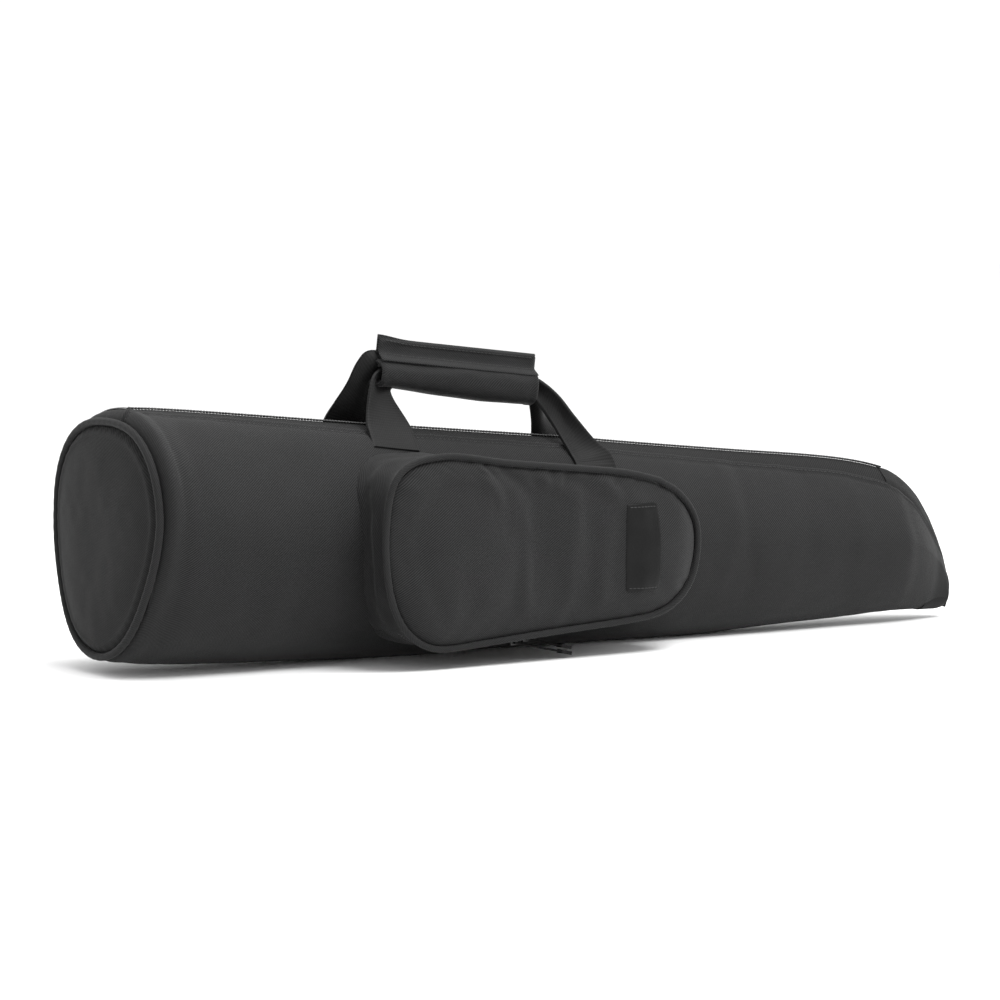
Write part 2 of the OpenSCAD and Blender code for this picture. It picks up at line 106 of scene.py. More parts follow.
def pchip(xs, ys):
    xs, ys = np.array(xs, float), np.array(ys, float)
    h, n = np.diff(xs), len(xs)
    d = np.diff(ys) / h
    g = np.zeros(n)
    g[0], g[-1] = d[0], d[-1]
    for i in range(1, n - 1):
        if d[i - 1] * d[i] > 0:
            a, b = 2 * h[i] + h[i - 1], h[i] + 2 * h[i - 1]
            g[i] = (a + b) / (a / d[i - 1] + b / d[i])

    def f(x):
        x = np.clip(np.asarray(x, float), xs[0], xs[-1])
        k = np.clip(np.searchsorted(xs, x, side="right") - 1, 0, n - 2)
        t = (x - xs[k]) / h[k]
        return (ys[k] * (1 + 2 * t) * (1 - t) ** 2 + g[k] * h[k] * t * (1 - t) ** 2
                + ys[k + 1] * t * t * (3 - 2 * t) + g[k + 1] * h[k] * t * t * (t - 1))
    return f


def smooth(t):
    t = np.clip(t, 0, 1)
    return t * t * (3 - 2 * t)


def noise(x, y, z=0.0, seed=0):
    """Value noise from -1 to 1, the same each run."""
    x, y, z = np.broadcast_arrays(np.asarray(x, float), np.asarray(y, float), np.asarray(z, float))
    xi, yi, zi = (np.floor(a).astype(np.int64) for a in (x, y, z))
    fx, fy, fz = (smooth(a - b) for a, b in ((x, xi), (y, yi), (z, zi)))

    def h(i, j, k):
        n = (i * 73856093) ^ (j * 19349663) ^ (k * 83492791) ^ (seed * 2654435)
        n = (n * 1103515245 + 12345) & 0x7FFFFFFF
        n = ((n ^ (n >> 13)) * 1274126177) & 0x7FFFFFFF
        return n / 1073741823.5 - 1
    r = 0
    for a in (0, 1):
        for b in (0, 1):
            for c in (0, 1):
                w = (fx if a else 1 - fx) * (fy if b else 1 - fy) * (fz if c else 1 - fz)
                r = r + w * h(xi + a, yi + b, zi + c)
    return r


def unit(v):
    return v / np.maximum(np.linalg.norm(v, axis=-1, keepdims=True), 1e-12)


def make(name, verts, faces, mat, uvs=None, body=None, smooth_shade=True, sharp=None):
    """A mesh piece from millimetres. uvs are per vertex, in metres."""
    me = bpy.data.meshes.new(name)
    me.from_pydata((np.asarray(verts) * 0.001).tolist(), [], [list(map(int, f)) for f in faces])
    me.validate()
    if uvs is not None:
        lay = me.uv_layers.new(name="UVMap")
        idx = np.zeros(len(me.loops), np.int32)
        me.loops.foreach_get("vertex_index", idx)
        lay.data.foreach_set("uv", np.asarray(uvs, np.float32)[idx].ravel())
    if smooth_shade:
        me.polygons.foreach_set("use_smooth", np.ones(len(me.polygons), bool))
    me.materials.append(mat)
    me.update()
    if sharp:
        me.set_sharp_from_angle(angle=rad(sharp))
    o = bpy.data.objects.new(name, me)
    bpy.context.collection.objects.link(o)
    if body:
        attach(o, body)
    return o


def grid_normals(P):
    du, dv = np.gradient(P, axis=0), np.gradient(P, axis=1)
    return unit(np.cross(du, dv))


def layer(name, P, N, d0, d1, mat, uv, body=None, sharp=50, wrap=False):
    """A closed thick sheet between offsets d0 and d1 below the grid P along -N."""
    n, k = P.shape[:2]
    A, B = (P - N * d0).reshape(-1, 3), (P - N * d1).reshape(-1, 3)
    idx = np.arange(n * k).reshape(n, k)
    kk = np.arange(k if wrap else k - 1)
    k2 = (kk + 1) % k
    a, b, c, d = (idx[:-1][:, kk].ravel(), idx[1:][:, kk].ravel(), idx[1:][:, k2].ravel(), idx[:-1][:, k2].ravel())
    # is (a,b,c,d) turned towards +N
    q = np.cross(A[b] - A[a], A[d] - A[a])
    flip = np.sum(q * N.reshape(-1, 3)[a]) < 0
    top = np.stack([a, b, c, d], 1)
    if flip:
        top = top[:, ::-1]
    off = n * k
    faces = [top, top[:, ::-1] + off]

    def wall(e):
        w = np.stack([e[:-1], e[1:], e[1:] + off, e[:-1] + off], 1)
        return w
    edges = [wall(idx[0][::-1]), wall(idx[-1])]
    if wrap:
        edges = [wall(np.append(idx[0], idx[0][0])[::-1]), wall(np.append(idx[-1], idx[-1][0]))]
    else:
        edges += [wall(idx[:, 0]), wall(idx[::-1, -1])]
    for e in edges:
        faces.append(e if not flip else e[:, ::-1])
    # walls: outward check is done by recalculating below
    V = np.concatenate([A, B])
    UVv = np.concatenate([uv.reshape(-1, 2)] * 2)
    o = make(name, V, np.concatenate(faces), mat, UVv, None, True, None)
    bpy.context.view_layer.objects.active = o
    import bmesh
    bm = bmesh.new()
    bm.from_mesh(o.data)
    bmesh.ops.recalc_face_normals(bm, faces=bm.faces)
    bm.to_mesh(o.data)
    bm.free()
    if sharp:
        o.data.set_sharp_from_angle(angle=rad(sharp))
    if body:
        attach(o, body)
    return o


def catmull(pts, per=8, closed=False):
    P = np.asarray(pts, float)
    n = len(P)
    out = []
    segs = n if closed else n - 1
    for i in range(segs):
        if closed:
            p0, p1, p2, p3 = P[(i - 1) % n], P[i], P[(i + 1) % n], P[(i + 2) % n]
        else:
            p1, p2 = P[i], P[i + 1]
            p0 = P[i - 1] if i else 2 * p1 - p2
            p3 = P[i + 2] if i + 2 < n else 2 * p2 - p1
        for t in np.arange(per) / per:
            out.append(0.5 * ((2 * p1) + (p2 - p0) * t + (2 * p0 - 5 * p1 + 4 * p2 - p3) * t * t
                              + (3 * p1 - p0 - 3 * p2 + p3) * t ** 3))
    if not closed:
        out.append(P[-1])
    return np.array(out)


def even(pts, n, closed=False):
    P = np.asarray(pts, float)
    if closed:
        P = np.vstack([P, P[:1]])
    s = np.concatenate([[0], np.cumsum(np.linalg.norm(np.diff(P, axis=0), axis=1))])
    t = np.linspace(0, s[-1], n + 1)[:-1] if closed else np.linspace(0, s[-1], n)
    return np.stack([np.interp(t, s, P[:, i]) for i in range(P.shape[1])], 1), s[-1]


def tube(name, pts, r, mat, body=None, seg=12, closed=False, ref=(0, 0, 1), flat=1.0):
    P = np.asarray(pts, float)
    n = len(P)
    t = unit(np.roll(P, -1, 0) - np.roll(P, 1, 0)) if closed else unit(np.gradient(P, axis=0))
    a = unit(np.cross(np.asarray(ref, float), t))
    b = np.cross(t, a)
    ang = np.arange(seg) * 2 * np.pi / seg
    rr = np.broadcast_to(np.asarray(r, float), (n,))
    V = P[:, None] + rr[:, None, None] * (np.cos(ang)[None, :, None] * a[:, None] + flat * np.sin(ang)[None, :, None] * b[:, None])
    s = np.concatenate([[0], np.cumsum(np.linalg.norm(np.diff(P, axis=0), axis=1))]) * 0.001
    uv = np.stack(np.broadcast_arrays(s[:, None], (ang * float(np.mean(rr)) * 0.001)[None]), -1)
    faces = []
    for i in range(n if closed else n - 1):
        j = (i + 1) % n
        for k in range(seg):
            l = (k + 1) % seg
            faces.append([i * seg + k, j * seg + k, j * seg + l, i * seg + l])
    if not closed:
        faces.append([k for k in range(seg)])
        faces.append([(n - 1) * seg + k for k in range(seg)][::-1])
    o = make(name, V.reshape(-1, 3), faces, mat, uv.reshape(-1, 2), None)
    import bmesh
    bm = bmesh.new()
    bm.from_mesh(o.data)
    bmesh.ops.recalc_face_normals(bm, faces=bm.faces)
    bm.to_mesh(o.data)
    bm.free()
    if body:
        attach(o, body)
    return o


def instances(name, base_v, base_f, O, X, Y, Z, mat, body=None):
    """Copies of a small mesh: base coordinates (x, y, z) go to O + x X + y Y + z Z."""
    bv, bf = np.asarray(base_v, float), base_f
    V = (O[:, None] + bv[None, :, 0:1] * X[:, None] + bv[None, :, 1:2] * Y[:, None] + bv[None, :, 2:3] * Z[:, None]).reshape(-1, 3)
    faces = []
    for i in range(len(O)):
        faces += [[v + i * len(bv) for v in f] for f in bf]
    uv = np.tile(bv[:, :2] * 0.001, (len(O), 1))
    o = make(name, V, faces, mat, uv, None)
    import bmesh
    bm = bmesh.new()
    bm.from_mesh(o.data)
    bmesh.ops.recalc_face_normals(bm, faces=bm.faces)
    bm.to_mesh(o.data)
    bm.free()
    if body:
        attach(o, body)
    return o


def bead(profile, seg=8, squash=1.0):
    """A small turned solid along x: profile is [(x, r)...] with end points at r 0."""
    V, Fc = [(profile[0][0], 0, 0)], []
    for x, r in profile[1:-1]:
        for k in range(seg):
            a = 2 * math.pi * k / seg
            V.append((x, r * math.cos(a), squash * r * math.sin(a)))
    V.append((profile[-1][0], 0, 0))
    last = len(V) - 1
    rings = len(profile) - 2
    for k in range(seg):
        Fc.append([0, 1 + k, 1 + (k + 1) % seg])
        Fc.append([last, 1 + (rings - 1) * seg + (k + 1) % seg, 1 + (rings - 1) * seg + k])
    for i in range(rings - 1):
        for k in range(seg):
            a, b = 1 + i * seg + k, 1 + i * seg + (k + 1) % seg
            Fc.append([a, b, b + seg, a + seg])
    return V, Fc


STITCH = bead([(-1.45, 0), (-1.15, .26), (-.4, .36), (.4, .36), (1.15, .26), (1.45, 0)], 6, 0.8)


def stitches(name, path, normals, mat, body=None, pitch=3.7, lift=0.12, scale=1.0):
    """A row of thread stitches along a path, lying on the fabric."""
    P = np.asarray(path, float)
    s = np.concatenate([[0], np.cumsum(np.linalg.norm(np.diff(P, axis=0), axis=1))])
    t = np.arange(pitch / 2, s[-1], pitch)
    O = np.stack([np.interp(t, s, P[:, i]) for i in range(3)], 1)
    Nn = unit(np.stack([np.interp(t, s, np.asarray(normals)[:, i]) for i in range(3)], 1))
    T = unit(np.stack([np.interp(t + .6, s, P[:, i]) - np.interp(t - .6, s, P[:, i]) for i in range(3)], 1))
    Bn = unit(np.cross(Nn, T))
    return instances(name, STITCH[0], STITCH[1], O + Nn * lift, T * scale, Bn * scale, Nn * scale, mat, body)


def stand(piece, *names):
    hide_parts(*names)
    return piece


# ------------------------------------------------------------------ materials


class Nt:
    """Builds one node material."""

    def __init__(self, name):
        self.m = bpy.data.materials.new(name)
        self.m.use_nodes = True
        self.t = self.m.node_tree
        self.b = self.t.nodes["Principled BSDF"]

    def n(self, kind, **inp):
        x = self.t.nodes.new(kind)
        for k, v in inp.items():
            if k.startswith("_"):
                setattr(x, k[1:], v)
        return x

    def link(self, a, b):
        self.t.links.new(a, b)

    def math(self, op, a, b=None):
        x = self.n("ShaderNodeMath", _operation=op)
        for i, v in enumerate((a, b)):
            if v is None:
                continue
            if isinstance(v, (int, float)):
                x.inputs[i].default_value = v
            else:
                self.link(v, x.inputs[i])
        return x.outputs[0]

    def coords(self, kind="UV", rot=0.0, scale=(1, 1, 1)):
        tc = self.n("ShaderNodeTexCoord")
        mp = self.n("ShaderNodeMapping")
        mp.inputs["Rotation"].default_value = (0, 0, rot)
        mp.inputs["Scale"].default_value = scale
        self.link(tc.outputs[kind], mp.inputs[0])
        return mp.outputs[0]

    def wave(self, vec, period, distort=0.0, profile="SIN", dscale=1.0):
        w = self.n("ShaderNodeTexWave", _wave_type="BANDS", _bands_direction="X", _wave_profile=profile)
        w.inputs["Scale"].default_value = 0.31416 / period
        w.inputs["Distortion"].default_value = distort
        w.inputs["Detail"].default_value = 1.0
        w.inputs["Detail Scale"].default_value = dscale
        self.link(vec, w.inputs["Vector"])
        return w.outputs["Fac"]

    def noise(self, vec, scale, detail=3.0, rough=0.55):
        w = self.n("ShaderNodeTexNoise")
        w.inputs["Scale"].default_value = scale
        w.inputs["Detail"].default_value = detail
        w.inputs["Roughness"].default_value = rough
        self.link(vec, w.inputs["Vector"])
        return w.outputs["Fac"]

    def ramp(self, fac, stops):
        r = self.n("ShaderNodeValToRGB")
        e = r.color_ramp.elements
        while len(e) < len(stops):
            e.new(0.5)
        for i, (p, c) in enumerate(stops):
            e[i].position = p
            e[i].color = (c[0], c[1], c[2], 1)
        self.link(fac, r.inputs[0])
        return r.outputs[0]

    def mapr(self, fac, lo, hi):
        r = self.n("ShaderNodeMapRange")
        r.inputs["To Min"].default_value, r.inputs["To Max"].default_value = lo, hi
        self.link(fac, r.inputs["Value"])
        return r.outputs[0]

    def bump(self, height, strength, distance, normal=None):
        b = self.n("ShaderNodeBump")
        b.inputs["Strength"].default_value = strength
        b.inputs["Distance"].default_value = distance
        self.link(height, b.inputs["Height"])
        if normal is not None:
            self.link(normal, b.inputs["Normal"])
        self.link(b.outputs[0], self.b.inputs["Normal"])
        return b.outputs[0]


def grey(v, tint=(1, 1, 1)):
    return (v * tint[0], v * tint[1], v * tint[2])


def twill(name, turn=1, level=1.0, period=0.00138, sheen=0.07, bumpy=0.75, rough=(0.62, 0.8), ang=52, cool=(1.0, 1.005, 1.02)):
    """Coarse polyester twill: diagonal ribs cut into yarn floats, with lint and slow colour drift."""
    k = Nt(name)
    uv = k.coords("UV", rad(ang) * turn)
    uv2 = k.coords("UV", rad(ang - 78) * turn)
    flat = k.coords("UV")
    ribs = k.wave(uv, period, 0.35, "SIN", 90)
    yarn = k.wave(uv2, period * 0.62, 0.5, "SIN", 120)
    fine = k.noise(flat, 2600, 2.0)
    lint = k.noise(flat, 420, 4.0, 0.65)
    slow = k.noise(flat, 14, 3.0)
    h = k.math("ADD", k.math("MULTIPLY", ribs, 0.62), k.math("MULTIPLY", k.math("MULTIPLY", ribs, yarn), 0.38))
    shade = k.math("ADD", k.math("MULTIPLY", h, 0.66), k.math("ADD", k.math("MULTIPLY", lint, 0.22), k.math("MULTIPLY", slow, 0.18)))
    col = k.ramp(shade, [(0.14, grey(0.0028 * level, cool)), (0.5, grey(0.0098 * level, cool)), (0.88, grey(0.027 * level, cool))])
    k.link(col, k.b.inputs["Base Color"])
    k.link(k.mapr(k.math("MULTIPLY", h, lint), rough[1], rough[0]), k.b.inputs["Roughness"])
    k.b.inputs["Specular IOR Level"].default_value = 0.2
    k.b.inputs["Sheen Weight"].default_value = sheen
    k.b.inputs["Sheen Roughness"].default_value = 0.42
    hh = k.math("ADD", h, k.math("MULTIPLY", fine, 0.35))
    k.bump(hh, bumpy, 0.00028)
    return k.m


M_BODY = twill("body_twill", -1, 0.86, sheen=0.055)
# the end disc is the body fabric at a darker level (0.52): painted shade on the round end
M_DISC_SHADED = twill("disc_twill_painted_shade", 1, 0.52, sheen=0.02)
M_POCKET = twill("pocket_twill", 1, 0.92)
M_GUSSET = twill("gusset_twill", 1, 0.75, sheen=0.04)
M_GRIP = twill("grip_twill", -1, 1.0, 0.00135)
M_PIPE = twill("piping_twill", 1, 0.85, 0.0012, 0.05, 0.5)
M_STRIP = twill("binding_twill", -1, 0.62, 0.0012, 0.03)


def webbing():
    k = Nt("webbing")
    flat = k.coords("UV")
    across = k.coords("UV", 0, (1, 1, 1))
    rot = k.coords("UV", rad(90))
    wefts = k.wave(across, 0.0021, 0.3, "SIN", 60)
    warps = k.wave(rot, 0.00165, 0.25, "SIN", 60)
    lint = k.noise(flat, 500, 3.0)
    h = k.math("ADD", k.math("MULTIPLY", wefts, 0.45), k.math("MULTIPLY", warps, 0.55))
    s = k.math("ADD", k.math("MULTIPLY", h, 0.75), k.math("MULTIPLY", lint, 0.25))
    k.link(k.ramp(s, [(0.1, grey(0.0022)), (0.6, grey(0.0062)), (0.95, grey(0.0145))]), k.b.inputs["Base Color"])
    k.link(k.mapr(lint, 0.5, 0.75), k.b.inputs["Roughness"])
    k.b.inputs["Specular IOR Level"].default_value = 0.2
    k.b.inputs["Sheen Weight"].default_value = 0.04
    k.b.inputs["Sheen Roughness"].default_value = 0.4
    k.bump(h, 0.55, 0.0004)
    return k.m


def tape():
    k = Nt("zip_tape")
    ob = k.coords("Object")
    ribs = k.wave(ob, 0.0012, 0.3, "SIN", 50)
    lint = k.noise(ob, 600, 3.0)
    s = k.math("ADD", k.math("MULTIPLY", ribs, 0.6), k.math("MULTIPLY", lint, 0.4))
    k.link(k.ramp(s, [(0.1, grey(0.0025)), (0.9, grey(0.009))]), k.b.inputs["Base Color"])
    k.link(k.mapr(lint, 0.6, 0.82), k.b.inputs["Roughness"])
    k.b.inputs["Specular IOR Level"].default_value = 0.15
    k.b.inputs["Sheen Weight"].default_value = 0.03
    k.bump(s, 0.4, 0.0002)
    return k.m


def moulded(name, base, rough, metallic=0.0, spec=0.5, grain=900, bump=0.12, coat=0.0):
    """Moulded nylon, painted metal or cord: fine grain with worn, smoother high spots."""
    k = Nt(name)
    ob = k.coords("Object")
    g = k.noise(ob, grain, 4.0)
    w = k.noise(ob, 120, 3.0)
    s = k.math("ADD", k.math("MULTIPLY", g, 0.45), k.math("MULTIPLY", w, 0.55))
    k.link(k.ramp(s, [(0.3, grey(base * 0.7)), (0.7, grey(base * 1.35))]), k.b.inputs["Base Color"])
    k.link(k.mapr(s, rough + 0.12, rough - 0.1), k.b.inputs["Roughness"])
    k.b.inputs["Metallic"].default_value = metallic
    k.b.inputs["Specular IOR Level"].default_value = spec
    k.b.inputs["Coat Weight"].default_value = coat
    k.bump(g, bump, 0.00015)
    return k.m


def leather():
    k = Nt("label_leather")
    uv = k.coords("UV")
    v = k.n("ShaderNodeTexVoronoi", _feature="DISTANCE_TO_EDGE")
    v.inputs["Scale"].default_value = 900
    k.link(uv, v.inputs["Vector"])
    big = k.noise(uv, 60, 4.0)
    cell = k.math("MINIMUM", k.math("MULTIPLY", v.outputs["Distance"], 5.0), 1.0)
    k.link(k.ramp(big, [(0.3, grey(0.0012)), (0.7, grey(0.003))]), k.b.inputs["Base Color"])
    k.link(k.mapr(big, 0.38, 0.55), k.b.inputs["Roughness"])
    k.b.inputs["Specular IOR Level"].default_value = 0.16
    k.bump(k.math("ADD", cell, k.math("MULTIPLY", big, 1.2)), 0.35, 0.00018)
    return k.m


def lining():
    k = Nt("lining")
    uv = k.coords("UV")
    uv2 = k.coords("UV", rad(90))
    a, b = k.wave(uv, 0.0007, 0.2, "SIN", 90), k.wave(uv2, 0.0007, 0.2, "SIN", 90)
    slow = k.noise(uv, 25, 3.0)
    h = k.math("MULTIPLY", a, b)
    s = k.math("ADD", k.math("MULTIPLY", h, 0.4), k.math("MULTIPLY", slow, 0.6))
    k.link(k.ramp(s, [(0.2, grey(0.012)), (0.8, grey(0.026))]), k.b.inputs["Base Color"])
    k.link(k.mapr(slow, 0.45, 0.6), k.b.inputs["Roughness"])
    k.b.inputs["Specular IOR Level"].default_value = 0.4
    k.b.inputs["Sheen Weight"].default_value = 0.15
    k.bump(h, 0.3, 0.00012)
    return k.m


def foam():
    k = Nt("foam")
    uv = k.coords("Object")
    c = k.noise(uv, 1500, 3.0, 0.7)
    s = k.noise(uv, 40, 2.0)
    k.link(k.ramp(k.math("ADD", k.math("MULTIPLY", c, 0.6), k.math("MULTIPLY", s, 0.4)), [(0.3, grey(0.03)), (0.7, grey(0.075))]), k.b.inputs["Base Color"])
    k.link(k.mapr(c, 0.85, 0.98), k.b.inputs["Roughness"])
    k.bump(c, 0.6, 0.0004)
    return k.m


def hooks(name, scale, base):
    k = Nt(name)
    ob = k.coords("Object")
    v = k.n("ShaderNodeTexVoronoi")
    v.inputs["Scale"].default_value = scale
    k.link(ob, v.inputs["Vector"])
    n = k.noise(ob, scale * 0.6, 3.0)
    k.link(k.ramp(v.outputs["Distance"], [(0.1, grey(base * 1.7)), (0.8, grey(base * 0.5))]), k.b.inputs["Base Color"])
    k.link(k.mapr(n, 0.6, 0.9), k.b.inputs["Roughness"])
    k.bump(v.outputs["Distance"], 0.8, -0.0006)
    return k.m


M_WEB, M_TAPE, M_LEATHER, M_LINING, M_FOAM = webbing(), tape(), leather(), lining(), foam()
M_COIL = moulded("coil_nylon", 0.02, 0.26, spec=0.6, grain=700)
M_THREAD = moulded("thread", 0.011, 0.55, grain=2500, bump=0.3)
M_METAL = moulded("slider_paint", 0.006, 0.38, metallic=0.0, spec=0.35, grain=300, bump=0.06, coat=0.12)
M_CORD = moulded("pull_cord", 0.0028, 0.7, spec=0.15, grain=1500, bump=0.4)
M_TIP = moulded("pull_tip", 0.003, 0.5, spec=0.2, grain=500, bump=0.08)
M_BOARD = moulded("board", 0.006, 0.7, spec=0.2, grain=200, bump=0.1)
M_HOOK, M_LOOP = hooks("hook_tape", 900, 0.012), hooks("loop_tape", 1600, 0.016)


def floor():
    k = Nt("floor")
    ob = k.coords("Object")
    n = k.noise(ob, 2.0, 3.0)
    k.link(k.ramp(n, [(0.3, (0.93, 0.93, 0.93)), (0.7, (0.95, 0.95, 0.95))]), k.b.inputs["Base Color"])
    k.b.inputs["Roughness"].default_value = 0.75
    k.b.inputs["Specular IOR Level"].default_value = 0.2
    me = bpy.data.meshes.new("floor")
    s = 14
    me.from_pydata([(-s, -s, 0), (s, -s, 0), (s, s, 0), (-s, s, 0)], [], [(0, 1, 2, 3)])
    me.materials.append(k.m)
    o = bpy.data.objects.new("floor", me)
    bpy.context.collection.objects.link(o)


floor()

# ------------------------------------------------------------------ the bag's surface


def wl(x):
    return 86.5 - 0.0729 * (x + 345)


def ml(x):
    return 92 - 0.0434 * (x + 345)


ROWS = [(-359, 174, 13, 80.5, 93.5, 2, 2), (-356, 180, 10, 84, 93, 2, 2), (-351, 183.5, 8, 86.6, 92.3, 2.05, 2),
        (-348, 184, 7.7, None, None, 2.05, 2), (-345, 184, 7.5, None, None, 2.05, 2), (-342, 183.6, 7, None, None, 2.0, 2),
        (-331, 182.5, 6, None, None, 1.95, 2.05), (-300, 180, 4.3, None, None, 1.8, 2.1), (-240, 174.5, 2.3, None, None, 1.7, 2.15),
        (-160, 167, 0, None, None, 1.62, 2.2), (-80, 160, 0, None, None, 1.6, 2.2), (0, 153, 0, None, None, 1.57, 2.2),
        (80, 145, 0, None, None, 1.53, 2.2), (160, 137.5, 1.5, None, None, 1.5, 2.2), (242, 130, 5, None, None, 1.45, 2.1),
        (271, 126, 6.5, None, None, 1.38, 2.1), (300, 119.5, 7, None, None, 1.28, 2.1), (312, 115, 7, 35.5, 61, 1.22, 2.1),
        (324, 107.5, 7, 31, 57, 1.18, 2.1), (334, 98, 7, 26, 52, 1.15, 2.1), (344, 84, 7, 20, 46, 1.2, 2.1),
        (350, 72, 7, 18, 40, 1.25, 2.1), (355, 54, 7.5, 16, 31, 1.4, 2.1), (358, 34, 8, 14, 21, 1.8, 2.1)]
ROWS = [(r[0], r[1], r[2], wl(r[0]) if r[3] is None else r[3], ml(r[0]) if r[4] is None else r[4], r[5], r[6]) for r in ROWS]
ZT, ZB, W, ZM, PU, PL = (pchip([r[0] for r in ROWS], [r[i] for r in ROWS]) for i in range(1, 7))
TH = np.linspace(0, np.pi, 481)


def sections(xs):
    zt, zb, w, zm, p, q = (g(xs)[:, None] for g in (ZT, ZB, W, ZM, PU, PL))
    up = (TH <= np.pi / 2 + 1e-9)[None]
    s, c = np.sin(TH)[None], np.cos(TH)[None]
    e = np.where(up, 2 / p, 2 / q)
    h = np.where(up, zt - zm, zm - zb)
    y = w * np.abs(s) ** e
    z = zm + np.sign(c) * h * np.abs(c) ** e
    arc = np.concatenate([np.zeros((len(xs), 1)), np.cumsum(np.hypot(np.diff(y, axis=1), np.diff(z, axis=1)), axis=1)], 1)
    return y, z, arc


def seam_y(x):
    return np.minimum(14.0, 0.62 * W(x))


def arcs(xs):
    """Per station: half perimeter, arc to the seam, arc to the hinge line."""
    y, z, arc = sections(xs)
    L = arc[:, -1]
    sa = np.array([np.interp(seam_y(x), y[i, :241], arc[i, :241]) for i, x in enumerate(xs)])
    return L, sa, arc[:, 240]


def top_z(x, y):
    """The bag's upper surface at x, y."""
    x, y = np.asarray(x, float), np.abs(np.asarray(y, float))
    t = np.clip(1 - (y / W(x)) ** PU(x), 0, 1) ** (1 / PU(x))
    return ZM(x) + (ZT(x) - ZM(x)) * t


def inside(P):
    x, y, z = P[..., 0], np.abs(P[..., 1]), P[..., 2]
    zm, w = ZM(x), W(x)
    up = z >= zm
    h = np.where(up, ZT(x) - zm, zm - ZB(x))
    e = np.where(up, PU(x), PL(x))
    return (y / w) ** e + (np.abs(z - zm) / h) ** e < 1


# the round end's outline, seen in the photograph as an egg a little wider at mid height
EGG = [(0, 11), (17, 12.3), (42, 23.2), (50, 31.5), (60, 43), (65, 51), (72.5, 64), (75.5, 70), (81, 86), (84.3, 106), (81, 130), (73.5, 147), (69.5, 152.5), (58, 162.5), (41, 170.5), (20, 175.5), (0, 177)]
_a = np.array([math.atan2(z - 94, y) for y, z in EGG])
_r = np.array([math.hypot(y, z - 94) for y, z in EGG])
_A = np.stack([np.cos(k * (_a - np.pi / 2)) for k in range(7)], 1)
_c = np.linalg.lstsq(_A, _r, rcond=None)[0]


def egg(th):
    return sum(_c[k] * np.cos(k * (th - np.pi / 2)) for k in range(7))


def lean(z):
    return 8.5 * np.clip((112 - z) / 100, 0, 1.05) ** 1.25


def end_shape(P):
    """Draws the round end out to its egg outline and leans its foot outwards."""
    x, y, z = P[..., 0], P[..., 1], P[..., 2]
    k = smooth((-322 - x) / 34)
    th = np.arctan2(z - 94, y)
    g = 1 + ((egg(th) - 3.2) / 80.5 - 1) * k
    Q = P.copy()
    Q[..., 1], Q[..., 2] = y * g, 94 + (z - 94) * g
    Q[..., 0] = x - lean(z) * smooth((-262 - x) / 88)
    return Q


def disp(x, y, z, b):
    """Soft unevenness of the padded cover, outwards in mm."""
    d = 0.85 * noise(x / 62, y / 45, z / 45, 3) + 0.4 * noise(x / 27, y / 24, z / 24, 5) + 0.12 * noise(x / 9, y / 9, z / 9, 8)
    # padded ridge beside the piping and the valley after it
    k = np.clip((z - 10) / 60, 0.25, 1)
    xl = x + lean(z) * smooth((-262 - x) / 88)
    d = d + 1.5 * np.exp(-((xl + 352.5) / 4.0) ** 2) * k - 0.9 * np.exp(-((xl + 341) / 4.5) ** 2) * k - 0.6 * np.exp(-((xl + 322) / 12) ** 2) * k + 0.5 * np.exp(-((x + 298) / 15) ** 2) * k
    # upright drag wrinkles
    for x0, wd, am, tilt in ((-262, 7, .9, .10), (-243, 6, -1.1, .14), (-226, 8, 1.0, .02), (-286, 9, -.8, -.06),
                             (128, 8, .8, .12), (146, 7, -.9, .08), (92, 9, .6, -.1), (206, 10, -.6, .15), (252, 9, .5, -.1)):
        xc = x0 + tilt * (z - 90) + 6 * noise(z / 40, x0, 0, 11)
        d = d + am * np.exp(-((x - xc) / wd) ** 2) * smooth((z - 12) / 50) * smooth((172 - z) / 70)
    # gathered ripple along the turned seam at the ridge
    e = np.exp(-np.maximum(b, 0) / 9)
    d = d + 0.38 * e * np.sin(x / 2.1 + 2.5 * noise(x / 22, 0, 0, 4)) * (0.6 + 0.4 * noise(x / 33, 1, 0, 6))
    return d


def stations(x0, x1):
    """Axial stations, denser at both ends."""
    xs = np.concatenate([np.arange(-359, -320, 1.5), np.arange(-320, -276, 3.0), np.arange(-276, 288, 4.0), np.arange(288, 340, 2.2), np.arange(340, 358.01, 1.0)])
    xs = xs[(xs > x0 + 0.4) & (xs < x1 - 0.4)]
    return np.concatenate([[x0], xs, [x1]])


